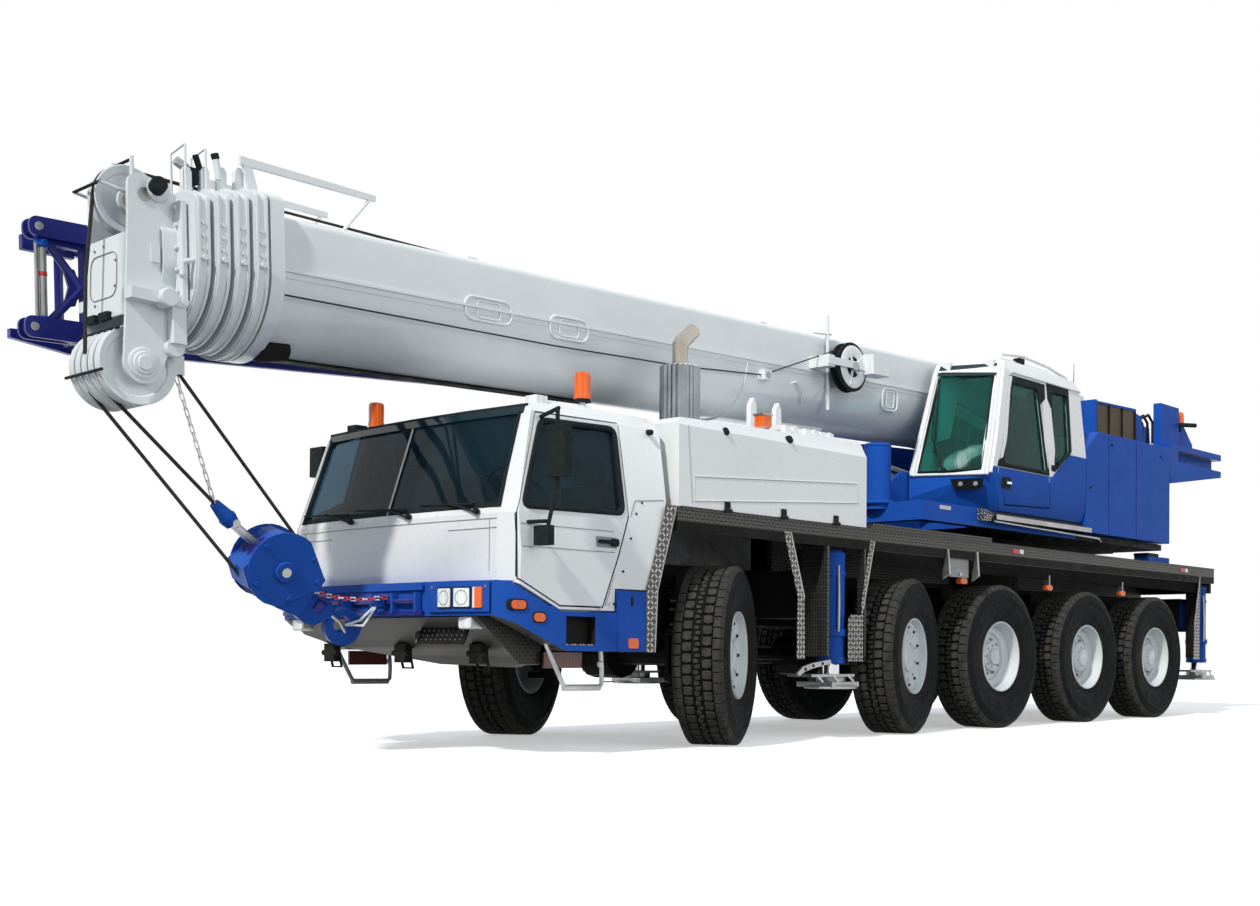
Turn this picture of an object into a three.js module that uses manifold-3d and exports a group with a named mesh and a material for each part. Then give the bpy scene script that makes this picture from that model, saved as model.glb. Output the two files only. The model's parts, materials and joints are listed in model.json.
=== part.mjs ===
// Five-axle all-terrain telescopic crane, road-going, boom down and outriggers in.
// Millimetres, +X forward, +Y to the crane's left, +Z up, ground at z = 0.
// Lengths along X are laid out from the front axle and moved to the object's middle at the end.
import * as THREE from "three";
import { mergeVertices } from "three/addons/utils/BufferGeometryUtils.js";
import { ConvexGeometry } from "three/addons/geometries/ConvexGeometry.js";
import Module from "manifold-3d";

const wasm = await Module();
wasm.setup();

// ---------------------------------------------------------------- driving sizes
const MIDDLE_X = -2715; // object's middle, from the front axle
const AXLE_X = [0, -2586, -4255, -6118, -7861];
const KINGPIN_Y = 883;
const TYRE_MID_Y = 1152;
const HALF_WIDTH = 1375; // over the deck
const WHEEL_R = 728;
const TYRE_HALF = 223;
const RIM_R = 340;
const WHEEL_SEGMENTS = 24;
// left and right road-wheel angles of each axle, degrees to the left
const STEER_LEFT = [29.4, 15.6, 0, 0, 0];
const STEER_RIGHT = [25.4, 13.5, 0, 0, 0];
const STEERED = [true, true, false, true, true];

const TOUCH = 0.3; // between pieces that rest on each other
const RUN = 5; // between pieces that move past each other

const FRAME_HALF = 420;
const FRAME_LOW = 1000;
const FRAME_TOP = 1500;
const FRAME_FRONT = 600;
const FRAME_REAR = -9620;
const DECK_TOP = 1870;
const DECK_PLATE = 40;
const DECK_FRONT = 618;
const DECK_REAR = -9514;
const SILL_LOW = 1679;
const VALANCE_LOW = 1555;

const OUTRIGGER_X = [-1560, -9360];
const BEAM_WIDE = 200;
const BEAM_LOW = 1100;
const BEAM_HIGH = 1420;
const BEAM_IN = -950;
const JACK_Y = 1205;
const JACK_R = 118;
const JACK_LOW = 660;
const JACK_HIGH = 1620;

const SLEW_X = -5400;
const RING_R = 760;
const RING_TOP = 2020;
const PLATFORM_LOW = RING_TOP + 2 * RUN;

const PIVOT_X = -8400;
const PIVOT_Z = 3400;
const BOOM_DROP = 1.95; // degrees, boom's lowest angle
const BOOM_HALF = 470;
const BOOM_BELLY = 470;
const BOOM_AXIS = 222; // belly centre above the pivot line
const BOOM_SHOULDER = 600;
const BOOM_CROWN = 648;
const BOOM_WALL = 12;
const BOOM_STEP = 34; // each section is this much smaller all round
const BOOM_BACK = 700;
const BOOM_FRONT = 11930;
const COLLAR = 100;
const COLLAR_PITCH = 122;
const COLLAR_RISE = 60; // collars stand this much above the section over the crown
const HEAD_HALF = 268;
const SHEAVE_LOW = [12720, -440];
const SHEAVE_LOW_R = 252;
const SHEAVE_LOW_HALF = 205;
const SHEAVE_TOP = [12690, 615];
const SHEAVE_TOP_R = 222;

const LUFF_FOOT = [-6600, 2350];
const LUFF_EYE = [-2400, 2800];

// ---------------------------------------------------------------- solids
const BASIS_X = new THREE.Matrix4().makeBasis(
  new THREE.Vector3(0, 1, 0),
  new THREE.Vector3(0, 0, 1),
  new THREE.Vector3(1, 0, 0)
);

function solid(geometry) {
  const g = geometry.index ? geometry : mergeVertices(geometry);
  g.deleteAttribute("normal");
  g.deleteAttribute("uv");
  const merged = mergeVertices(g, 1e-3);
  const index = merged.index.array;
  const triVerts = [];
  for (let i = 0; i < index.length; i += 3) {
    const [a, b, c] = [index[i], index[i + 1], index[i + 2]];
    if (a !== b && b !== c && a !== c) triVerts.push(a, b, c);
  }
  const made = (order) =>
    new wasm.Manifold(
      new wasm.Mesh({
        numProp: 3,
        vertProperties: merged.attributes.position.array,
        triVerts: new Uint32Array(order)
      })
    );
  const first = made(triVerts);
  if (first.volume() > 0) return first;
  const turned = [];
  for (let i = 0; i < triVerts.length; i += 3) {
    turned.push(triVerts[i], triVerts[i + 2], triVerts[i + 1]);
  }
  return made(turned);
}

function box(x0, x1, y0, y1, z0, z1) {
  const g = new THREE.BoxGeometry(x1 - x0, y1 - y0, z1 - z0);
  g.translate((x0 + x1) / 2, (y0 + y1) / 2, (z0 + z1) / 2);
  return solid(g);
}

function outline(points, holes = []) {
  const shape = new THREE.Shape(points.map(([a, b]) => new THREE.Vector2(a, b)));
  for (const hole of holes) {
    shape.holes.push(new THREE.Path(hole.map(([a, b]) => new THREE.Vector2(a, b))));
  }
  return shape;
}

function extruded(points, depth, holes) {
  return new THREE.ExtrudeGeometry(outline(points, holes), {
    depth,
    bevelEnabled: false
  });
}

// outline in (y, z), carried from x0 to x1
function alongX(points, x0, x1, holes) {
  const g = extruded(points, x1 - x0, holes);
  g.applyMatrix4(BASIS_X);
  g.translate(x0, 0, 0);
  return solid(g);
}

// outline in (x, z), carried from y0 to y1
function alongY(points, y0, y1, holes) {
  const g = extruded(points, y1 - y0, holes);
  g.rotateX(Math.PI / 2);
  g.translate(0, y1, 0);
  return solid(g);
}

// outline in (x, y), carried from z0 to z1
function alongZ(points, z0, z1, holes) {
  const g = extruded(points, z1 - z0, holes);
  g.translate(0, 0, z0);
  return solid(g);
}

function rodY(x, z, r, y0, y1, segments = 20) {
  const g = new THREE.CylinderGeometry(r, r, y1 - y0, segments);
  g.translate(x, (y0 + y1) / 2, z);
  return solid(g);
}

function rodZ(x, y, r, z0, z1, segments = 20) {
  const g = new THREE.CylinderGeometry(r, r, z1 - z0, segments);
  g.rotateX(Math.PI / 2);
  g.translate(x, y, (z0 + z1) / 2);
  return solid(g);
}

function rodX(y, z, r, x0, x1, segments = 20) {
  const g = new THREE.CylinderGeometry(r, r, x1 - x0, segments);
  g.rotateZ(Math.PI / 2);
  g.translate((x0 + x1) / 2, y, z);
  return solid(g);
}

// a round bar between two points
function bar(from, to, r, segments = 8) {
  const a = new THREE.Vector3(...from);
  const b = new THREE.Vector3(...to);
  const g = new THREE.CylinderGeometry(r, r, a.distanceTo(b), segments);
  const turn = new THREE.Quaternion().setFromUnitVectors(
    new THREE.Vector3(0, 1, 0),
    b.clone().sub(a).normalize()
  );
  g.applyQuaternion(turn);
  g.translate((a.x + b.x) / 2, (a.y + b.y) / 2, (a.z + b.z) / 2);
  return solid(g);
}

// the smallest convex solid around the points
function hull(points) {
  return solid(new ConvexGeometry(points.map((p) => new THREE.Vector3(...p))));
}

function lathe(profile, segments) {
  const points = profile.map(([r, y]) => new THREE.Vector2(r, y));
  points.push(points[0].clone());
  return solid(new THREE.LatheGeometry(points, segments));
}

// the outline moved outward by d (inward when d is negative); points run either way round
function offset(points, d) {
  const n = points.length;
  const area = points.reduce((sum, [a, b], i) => {
    const [c, e] = points[(i + 1) % n];
    return sum + a * e - c * b;
  }, 0);
  const out = area > 0 ? d : -d;
  return points.map(([x, y], i) => {
    const [px, py] = points[(i + n - 1) % n];
    const [qx, qy] = points[(i + 1) % n];
    const a = new THREE.Vector2(x - px, y - py).normalize();
    const b = new THREE.Vector2(qx - x, qy - y).normalize();
    const na = new THREE.Vector2(a.y, -a.x);
    const nb = new THREE.Vector2(b.y, -b.x);
    const k = out / (1 + na.dot(nb));
    return [x + (na.x + nb.x) * k, y + (na.y + nb.y) * k];
  });
}

const union = (list) => list.reduce((a, b) => a.add(b));
const cut = (from, list) => list.reduce((a, b) => a.subtract(b), from);
const mirrorY = (s) => s.mirror([0, 1, 0]);
const both = (s) => [s, mirrorY(s)];
const flipY = (points) => points.map(([x, y]) => [x, -y]).reverse();

// ---------------------------------------------------------------- the assembly
const group = new THREE.Group();
group.name = "mobile_crane";

const WHITE = [0xe9eaec, 0.35, 0.0];
const BLUE = [0x1f4fa8, 0.35, 0.0];
const BLACK = [0x1d1e20, 0.6, 0.1];
const CHEQUER = [0x6d6f73, 0.45, 0.6];
const STEEL = [0xa8abad, 0.35, 0.8];
const RUBBER = [0x1b1b1c, 0.85, 0.0];

function add(name, shape, [colour, roughness, metalness]) {
  const mesh = shape.translate([-MIDDLE_X, 0, 0]).getMesh();
  const g = new THREE.BufferGeometry();
  g.setAttribute("position", new THREE.BufferAttribute(mesh.vertProperties.slice(), 3));
  g.setIndex(new THREE.BufferAttribute(mesh.triVerts.slice(), 1));
  g.computeVertexNormals();
  const material = new THREE.MeshStandardMaterial({ color: colour, roughness, metalness });
  const made = new THREE.Mesh(g, material);
  made.name = name;
  group.add(made);
}

// ---------------------------------------------------------------- carrier frame
const frameParts = [
  box(FRAME_REAR, FRAME_FRONT, -FRAME_HALF, FRAME_HALF, FRAME_LOW, FRAME_TOP),
  box(FRAME_FRONT - 50, 2150, -FRAME_HALF, FRAME_HALF, 820, 1035),
  rodZ(SLEW_X, 0, RING_R, FRAME_TOP - 50, RING_TOP, 32)
];
// dark apron that slopes back under the bumper, cut up further on the right
const apronFront = [
  [-1150, 985], [-1150, 870], [-850, 780], [250, 650], [1000, 635], [1150, 660], [1150, 985]
];
const apron = union([
  alongY([[2080, 985], [1860, 630], [1950, 630], [2370, 985]], -1150, 1150),
  ...both(alongY([[2300, 985], [1880, 630], [1790, 630], [1790, 985]], 1110, 1150))
]);
frameParts.push(apron.intersect(alongX(apronFront, 1700, 2400)));
const HOUSING_HALF = 240;
for (const x of OUTRIGGER_X) {
  frameParts.push(box(x - HOUSING_HALF, x + HOUSING_HALF, -1080, 1080, 1060, 1480));
}
for (const x of AXLE_X) {
  frameParts.push(...both(box(x - 110, x + 110, FRAME_HALF - 20, 680, 1270, 1440)));
}
const frameCuts = [];
for (const x of OUTRIGGER_X) {
  const gap = 10;
  const wide = BEAM_WIDE + 2 * gap;
  const hole = [x, x + wide, BEAM_IN - 30, 1200, BEAM_LOW - gap, BEAM_HIGH + gap];
  frameCuts.push(box(...hole));
  frameCuts.push(box(x - wide, x, -1200, -BEAM_IN + 30, BEAM_LOW - gap, BEAM_HIGH + gap));
}
add("carrier_frame", cut(union(frameParts), frameCuts), BLACK);

// ---------------------------------------------------------------- deck
const PLATE_LOW = DECK_TOP - DECK_PLATE;
const deckParts = [
  box(DECK_REAR, DECK_FRONT, -HALF_WIDTH, HALF_WIDTH, PLATE_LOW, DECK_TOP),
  ...both(box(DECK_REAR, DECK_FRONT, HALF_WIDTH - 40, HALF_WIDTH, SILL_LOW, DECK_TOP)),
  ...both(box(DECK_REAR, -1900, HALF_WIDTH - 80, HALF_WIDTH - 40, VALANCE_LOW, DECK_TOP)),
  box(DECK_REAR, -9484, -1300, 1300, VALANCE_LOW, DECK_TOP),
  ...both(box(-9450, -1700, 340, 400, FRAME_TOP + TOUCH, DECK_TOP - 10)),
  box(450, 580, -420, 420, FRAME_TOP + TOUCH, DECK_TOP - 10)
];
const archStrip = [
  [DECK_FRONT - 30, DECK_TOP], [DECK_FRONT - 30, 1840], [620, 1830], [827, 1206], [852, 746],
  [882, 746], [857, 1212], [650, DECK_TOP]
];
deckParts.push(...both(alongY(archStrip, 1020, HALF_WIDTH)));
for (const [x, inside, low] of [[-1290, 1100, 720], [-1830, 1300, 720], [-9060, 1200, 720]]) {
  deckParts.push(...both(box(x - 15, x + 15, inside, HALF_WIDTH, low, DECK_TOP - 10)));
}
const deckCuts = [
  rodZ(SLEW_X, 0, RING_R + 2 * RUN, 1400, 1900, 32),
  box(-1620, 420, -500, 500, 1400, 1900),
  ...both(box(-9484, -9210, 1000, HALF_WIDTH - 35, 1500, SILL_LOW))
];
add("deck", cut(union(deckParts), deckCuts), CHEQUER);

// ---------------------------------------------------------------- engine and its housing
add("engine_block", box(-1400, 250, -400, 400, FRAME_TOP + TOUCH, 2440), STEEL);

const HOOD_FRONT = 603;
const HOOD_REAR = -1845;
const hoodSide = [
  [HOOD_REAR, DECK_TOP + TOUCH], [HOOD_REAR, 2600], [HOOD_REAR + 45, 2642],
  [HOOD_FRONT - 45, 2562], [HOOD_FRONT, 2520], [HOOD_FRONT, DECK_TOP + TOUCH]
];
const hoodEnd = [
  [-HALF_WIDTH, 1800], [HALF_WIDTH, 1800], [HALF_WIDTH, 2500], [HALF_WIDTH - 35, 2560],
  [HALF_WIDTH - 90, 2700], [-HALF_WIDTH + 90, 2700], [-HALF_WIDTH + 35, 2560],
  [-HALF_WIDTH, 2500]
];
const hoodOuter = alongY(hoodSide, -HALF_WIDTH, HALF_WIDTH).intersect(
  alongX(hoodEnd, HOOD_REAR, HOOD_FRONT)
);
const hoodInner = alongY(
  [[HOOD_REAR + 40, 1800], [HOOD_REAR + 40, 2590], [HOOD_FRONT - 40, 2515], [HOOD_FRONT - 40, 1800]],
  -HALF_WIDTH + 60,
  HALF_WIDTH - 60
);
const EXHAUST_X = 210;
const EXHAUST_Y = 1010;
const tail = bar([EXHAUST_X, EXHAUST_Y, 2990], [EXHAUST_X, EXHAUST_Y, 3230], 62, 16).add(
  bar([EXHAUST_X, EXHAUST_Y, 3210], [EXHAUST_X - 150, EXHAUST_Y, 3350], 62, 16)
);
const stack = rodZ(EXHAUST_X, EXHAUST_Y, 160, 2545, 3040, 24).add(tail);
add("engine_housing", hoodOuter.subtract(hoodInner).add(stack), WHITE);

// ---------------------------------------------------------------- carrier cab
// The cab's outer skin, brought in by t on every side.
const GLASS_LEAN = (1965 - 2220) / (2463 - 1704);
function cabForm(t) {
  const plan = [
    [690 + t, -1400], [2120 - t, -1400 + t], [2190 - t, -1340 + t], [2240 - t, -1200],
    [2290 - t, -600], [2305 - t, 0], [2290 - t, 600], [2240 - t, 1200], [2190 - t, 1340 - t],
    [2120 - t, 1400 - t], [690 + t, 1400]
  ];
  const low = alongZ(plan, 900, 1704);
  const lean = new THREE.Matrix4().set(
    1, 0, GLASS_LEAN, 0, 0, 1, 0, 0, 0, 0, 1, 0, 0, 0, 0, 1
  );
  const highShape = extruded(plan, 1000);
  highShape.applyMatrix4(lean);
  highShape.translate(0, 0, 1704);
  const high = solid(highShape).add(box(690 + t, 1600, -1400 + t, 1400 - t, 1700, 2700));
  const end = [
    [-1352 + t, 900], [1352 - t, 900], [1366 - t, 1450], [1352 - t, 1715], [1243 - t, 2440],
    [1130 - t, 2550 - t], [0, 2570 - t], [-1130 + t, 2550 - t], [-1243 + t, 2440],
    [-1352 + t, 1715], [-1366 + t, 1450]
  ];
  const side = [
    [2400, 1240 + t], [2235, 1240 + t], [1800, 1048 + t], [1262, 1048 + t], [1262, 1212 + t],
    [915 + t, 1212 + t], [690 + t, 1900], [690 + t, 2505], [740 + t, 2600], [1700, 2570],
    [1905 - t, 2512 - t], [1990 - t, 2465], [2400, 2330]
  ];
  return low.add(high).intersect(alongX(end, 600, 2500)).intersect(alongY(side, -1400, 1400));
}
const CAB_WALL = 50;
const cabOuter = cabForm(0);
const cabInner = cabForm(CAB_WALL);
const cabShell = cabOuter.subtract(cabInner);
const doorLine = [
  [2172, 1250], [2182, 1690], [1935, 2425], [1135, 2445], [1118, 1760], [1385, 1078], [1795, 1078]
];
const DOOR_GAP = 12;
const doorHole = alongY(offset(doorLine, DOOR_GAP), 1000, 1500);
const sideGlass = [[2130, 1750], [1900, 2380], [1175, 2400], [1165, 1770]];
const cabCuts = [
  ...both(doorHole),
  alongX([[-1200, 1742], [1200, 1742], [1160, 2425], [-1160, 2425]], 1800, 2500)
];
add("front_cab", cut(cabShell, cabCuts), WHITE);

// mirrors on arms from the top and the belt of a door: the tall one at x, from low to high
function doorMirrors(x, low, high) {
  return union([
    box(x - 35, x + 35, 1462, 1650, low, high),
    box(2040, 2100, 1420, 1565, 1475, 1610),
    bar([x, 1540, high - 60], [x, 1540, 2425], 15),
    bar([x - 115, 1215, 2400], [x, 1550, 2418], 15),
    bar([x, 1540, 1880], [x, 1540, low + 60], 15),
    bar([x, 1540, 1890], [2060, 1500, 1540], 15),
    bar([2100, 1335, 1640], [2060, 1505, 1640], 14)
  ]);
}
const mirrorsOf = { left: doorMirrors(1995, 1945, 2305), right: doorMirrors(1850, 2190, 2435) };

for (const side of ["left", "right"]) {
  const door = cut(cabShell.intersect(alongY(doorLine, 1100, 1500)), [
    alongY(sideGlass, 1000, 1500),
    box(1000, 2300, 1000, 1300, 1000, 1500)
  ]);
  const whole = door.add(mirrorsOf[side]);
  add(`cab_door_${side}`, side === "left" ? whole : mirrorY(whole), WHITE);
}

// ---------------------------------------------------------------- bumper and lower body
const bumperOut = [
  [1880, 1375], [2215, 1375], [2330, 1290], [2420, 1000], [2450, 0]
];
const bumperIn = [
  [1880, 1240], [2170, 1240], [2270, 960], [2300, 0]
];
const bumperPlan = [
  ...bumperOut, ...flipY(bumperOut.slice(0, -1)),
  ...flipY(bumperIn.slice(0, -1)).reverse(), ...[...bumperIn].reverse()
];
const skirt = [
  [2330, 1232], [2330, 990], [1760, 755], [940, 750], [940, 1200], [1250, 1200],
  [1250, 1035], [1800, 1035], [2232, 1226]
];
const lowerBody = union([
  alongZ(bumperPlan, 992, 1232),
  ...both(alongY(skirt, 1240, 1375).intersect(alongZ(
    [[900, 1000], [2330, 1000], [2330, 1290], [2215, 1375], [900, 1375]], 700, 1300)))
]);
const stepHole = both(box(1470, 1750, 1290, 1400, 795, 1000));
const tidyCorner = both(alongY([[1870, 1240], [2215, 1240], [2240, 1215], [1870, 1052]], 1100, 1400));
add("front_bumper", cut(lowerBody, [...stepHole, ...tidyCorner]), BLUE);

// ---------------------------------------------------------------- axles and running gear
const axleParts = [rodX(0, WHEEL_R, 50, AXLE_X[4], AXLE_X[0], 8)];
AXLE_X.forEach((x, i) => {
  const reach = STEERED[i] ? 745 : TYRE_MID_Y + 10 - RUN;
  axleParts.push(rodY(x, WHEEL_R, 88, -reach, reach, 10));
  axleParts.push(rodY(x, WHEEL_R, 200, -170, 170, 12));
  axleParts.push(...both(rodZ(x, 600, 62, WHEEL_R, 1270 - TOUCH, 8)));
  if (!STEERED[i]) return;
  const yoke = cut(box(x - 80, x + 80, 735, 955, WHEEL_R - 215, WHEEL_R + 215), [
    box(x - 90, x + 90, 780, 1000, WHEEL_R - 160, WHEEL_R + 160)
  ]);
  axleParts.push(...both(yoke));
});
add("axles_and_drive", union(axleParts), BLACK);

const tyreProfile = [
  [RIM_R + TOUCH, -160], [520, -TYRE_HALF], [680, -214], [WHEEL_R, -178],
  [WHEEL_R, 178], [680, 214], [520, TYRE_HALF], [RIM_R + TOUCH, 160]
];
const rimProfile = [
  [0, 135], [110, 135], [125, 45], [285, 40], [312, 160], [RIM_R, 160], [RIM_R, -160],
  [300, -160], [285, 10], [0, 10]
];
AXLE_X.forEach((x, i) => {
  for (const side of ["left", "right"]) {
    const turn = side === "left" ? STEER_LEFT[i] : -STEER_RIGHT[i];
    const place = (s) => {
      const set = s.rotate([0, 0, turn]).translate([x, KINGPIN_Y, WHEEL_R]);
      return side === "left" ? set : mirrorY(set);
    };
    const out = TYRE_MID_Y - KINGPIN_Y;
    const name = `${i + 1}_${side}`;
    add(`tyre_${name}`, place(lathe(tyreProfile, WHEEL_SEGMENTS).translate([0, out, 0])), RUBBER);
    add(`rim_${name}`, place(lathe(rimProfile, WHEEL_SEGMENTS).translate([0, out, 0])), STEEL);
    if (!STEERED[i]) continue;
    const knuckle = rodZ(0, 0, 70, -150, 150, 12).add(rodY(0, 0, 98, 0, out + 10 - RUN, 12));
    add(`knuckle_${name}`, place(knuckle), BLACK);
  }
});

// ---------------------------------------------------------------- outriggers
["front", "rear"].forEach((end, i) => {
  for (const side of ["left", "right"]) {
    const x = OUTRIGGER_X[i];
    const beam = union([
      box(x + 10, x + 10 + BEAM_WIDE, BEAM_IN, 1180, BEAM_LOW, BEAM_HIGH),
      rodZ(x, JACK_Y, JACK_R, JACK_LOW, JACK_HIGH, 20)
    ]);
    const hole = rodZ(x, JACK_Y, 88, JACK_LOW - 10, JACK_HIGH - 40, 20);
    const jack = union([
      rodZ(x, JACK_Y, 80, 480, JACK_HIGH - 60, 20),
      rodZ(x, JACK_Y, 130, 480, 560, 20),
      box(x - 195, x + 195, JACK_Y - 235, JACK_Y + 165, 455, 500)
    ]);
    const set = (s) => (side === "left" ? s : s.rotate([0, 0, 180]).translate([2 * x, 0, 0]));
    add(`outrigger_beam_${end}_${side}`, set(beam.subtract(hole)), BLUE);
    add(`outrigger_jack_${end}_${side}`, set(jack), STEEL);
  }
});

// ---------------------------------------------------------------- slewing platform
const PLATE_IN = 545;
const PLATE_OUT = 590;
const sidePlate = [
  [-2950, PLATFORM_LOW], [-2950, 2260], [-3550, 2600], [-6700, 2900], [-7850, 3660],
  [-8850, 3660], [-9050, 3380], [-9990, 3380], [-9990, 3110], [-8900, 2930], [-8250, PLATFORM_LOW]
];
const tankSide = [
  [-4300, PLATFORM_LOW], [-4300, 2950], [-4500, 3100], [-8150, 3270], [-8150, PLATFORM_LOW]
];
const platformParts = [
  ...both(alongY(sidePlate, PLATE_IN, PLATE_OUT)),
  alongZ([[-8250, -PLATE_IN - 20], [-2900, -PLATE_IN - 20], [-2700, -300], [-2700, 300],
    [-2900, PLATE_IN + 20], [-8250, PLATE_IN + 20]], PLATFORM_LOW, 2110),
  // walkway beam under the crane cab
  box(-3960, -2850, 1180, 1300, PLATFORM_LOW, 2215),
  box(-8100, -3900, PLATE_OUT - 10, 1300, PLATFORM_LOW, 2100),
  // tank side of the platform, on the right
  mirrorY(alongY(tankSide, PLATE_OUT - 10, HALF_WIDTH)),
  box(-2980, -2850, PLATE_OUT - 10, 1200, PLATFORM_LOW, 2215),
  // upright tank at the front corner
  rodZ(-2880, 760, 130, 2150, 2760, 20),
  // rear carrier for the counterweight
  cut(alongY([[-10030, 3110], [-10030, 3410], [-8450, 3400], [-8450, 2890]], -1250, 1250), [
    ...both(box(-10100, -8700, 1120, 1300, 3190, 3330)),
    box(-8900, -8300, -PLATE_IN + 10, PLATE_IN - 10, 2800, 3500)
  ]),
  ...both(box(-9160, -8620, 950, 1050, 3390, 3940)),
  ...both(alongY([[-9690, 3390], [-9690, 3530], [-9400, 3760], [-9150, 3760], [-9150, 3390]], 960, 1000)),
  // winch on the rear carrier
  ...both(alongY([[-9650, 3390], [-9600, 3800], [-9150, 3800], [-9050, 3390]], 400, 440)),
  rodY(-9380, 3660, 190, -420, 420, 20),
  // boom foot pin and luffing cylinder foot
  rodY(PIVOT_X, PIVOT_Z, 90, -PLATE_OUT - 40, PLATE_OUT + 40, 20),
  ...both(alongY([[-6900, 2100], [-6750, 2450], [-6450, 2450], [-6300, 2100]], 190, 240)),
  rodY(LUFF_FOOT[0], LUFF_FOOT[1], 60, -240, 240, 16)
];
add("slewing_platform", union(platformParts), BLUE);

// ---------------------------------------------------------------- upper housings
const powerSide = [
  [-6010, 2115], [-6010, 3050], [-6290, 3265], [-8170, 3285], [-8170, 2115]
];
const coolerSide = [[-6830, 3250], [-6870, 3700], [-7870, 3740], [-7930, 3250]];
const power = alongY(powerSide, 605, HALF_WIDTH).add(alongY(coolerSide, 620, 1050));
add("power_housing", power, BLUE);

// ---------------------------------------------------------------- crane cab
// levels from floor to roof: height, front at the boom side, front at the door side,
// half-width out to the door side, rear
const CAB2_IN = 610;
const CAB2_WALL = 45;
const CAB2_REAR = -5995;
const cab2Levels = [
  [2215, -3700, -4230, 1320, CAB2_REAR],
  [2340, -3640, -4160, 1365, CAB2_REAR],
  [2600, -3650, -4000, HALF_WIDTH, CAB2_REAR],
  [2950, -3790, -4095, HALF_WIDTH, CAB2_REAR],
  [3690, -4085, -4345, 1305, -5970],
  [3780, -4150, -4400, 1270, -5900],
  [3860, -4480, -4600, 1150, -5500]
];
function craneCabForm(t) {
  const points = [];
  cab2Levels.forEach(([z, frontIn, frontOut, out, rear], i) => {
    const lift = i === 0 ? t : i < 5 ? 0 : -t;
    points.push([frontIn - t, CAB2_IN + t, z + lift], [frontOut - t, out - t, z + lift]);
    points.push([rear + t, CAB2_IN + t, z + lift], [rear + t, out - t, z + lift]);
  });
  return hull(points);
}
const craneCabShell = craneCabForm(0).subtract(craneCabForm(CAB2_WALL));
const craneDoorLine = [
  [-4290, 2275], [-4110, 2560], [-4110, 2640], [-4435, 3640], [-5060, 3645], [-5210, 2310]
];
const craneDoorGlass = [[-4205, 2690], [-4480, 3565], [-5005, 3575], [-5115, 2690]];
const craneCabCuts = [
  alongY(craneDoorLine, 1200, 1500),
  // quarter window, window towards the boom, windscreen
  alongY([[-5290, 2720], [-5290, 3585], [-5660, 3590], [-5620, 2950]], 1000, 1500),
  alongY([[-4150, 2750], [-4400, 3560], [-5300, 3600], [-5300, 2750]], 500, 800),
  alongX([[690, 2560], [1265, 2610], [1225, 3640], [690, 3690]], -4600, -3500)
];
add("crane_cab", cut(craneCabShell, craneCabCuts), WHITE);
const craneDoor = craneCabShell.intersect(alongY(offset(craneDoorLine, -10), 1200, 1500)).subtract(
  alongY(craneDoorGlass, 1200, 1500)
);
add("crane_cab_door", craneDoor, BLUE);

// ---------------------------------------------------------------- boom
// Boom pieces are drawn along u from the pivot, v up, and then set at the boom's lowest angle.
function setBoom(s) {
  return s.rotate([0, BOOM_DROP, 0]).translate([PIVOT_X, 0, PIVOT_Z]);
}
function boomSection(inset, rise = 0) {
  const r = BOOM_BELLY - inset;
  const points = [];
  const steps = 10;
  for (let i = 0; i <= steps; i += 1) {
    const a = Math.PI + (Math.PI * i) / steps;
    points.push([r * Math.cos(a), BOOM_AXIS + r * Math.sin(a)]);
  }
  const shoulder = BOOM_SHOULDER - inset + rise;
  const crown = BOOM_CROWN - inset + rise;
  points.push([r, shoulder - 40]);
  points.push([r - 40, shoulder + 10]);
  points.push([r - 150, crown]);
  points.push([-r + 150, crown]);
  points.push([-r + 40, shoulder + 10]);
  points.push([-r, shoulder - 40]);
  return points;
}
function boomTube(inset, from, to) {
  return alongX(boomSection(inset), from, to, [boomSection(inset + BOOM_WALL).reverse()]);
}
function collar(inset, from, to, grow) {
  const outer = boomSection(inset - grow, COLLAR_RISE);
  return alongX(outer, from, to, [boomSection(inset + BOOM_WALL).reverse()]);
}
const eyeU = new THREE.Vector2(LUFF_EYE[0] - PIVOT_X, LUFF_EYE[1] - PIVOT_Z).rotateAround(
  new THREE.Vector2(0, 0),
  THREE.MathUtils.degToRad(BOOM_DROP)
);
const BOOM_LOW = BOOM_AXIS - BOOM_BELLY;
const baseParts = [
  boomTube(0, BOOM_BACK, BOOM_FRONT),
  collar(0, BOOM_FRONT - 60, BOOM_FRONT + COLLAR - 60, 55),
  // foot: two cheeks down to the pivot pin, closed by a back plate
  ...both(alongY([[-150, -120], [-150, 160], [300, 560], [720, 560], [720, -150], [150, -150]],
    300, 340)),
  alongX(boomSection(6), 700, 740),
  // side ledge stiffeners
  ...both(box(900, BOOM_FRONT - 100, BOOM_HALF - 6, BOOM_HALF + 14, 262, 284)),
  // luffing cylinder lug
  ...both(alongY([[eyeU.x - 380, BOOM_LOW + 38], [eyeU.x - 100, eyeU.y - 90],
    [eyeU.x + 100, eyeU.y - 90], [eyeU.x + 380, BOOM_LOW + 38]], 120, 170)),
  rodY(eyeU.x, eyeU.y, 55, -170, 170, 16)
];
const footCuts = [
  rodY(0, 0, 96, -700, 700, 20),
  // room for the eye of the luffing cylinder
  rodY(eyeU.x, eyeU.y, 75, -118, 118, 16)
];
const basePin = rodY(eyeU.x, eyeU.y, 55, -170, 170, 16);
add("boom_base", setBoom(cut(union(baseParts), footCuts).add(basePin)), WHITE);

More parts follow.
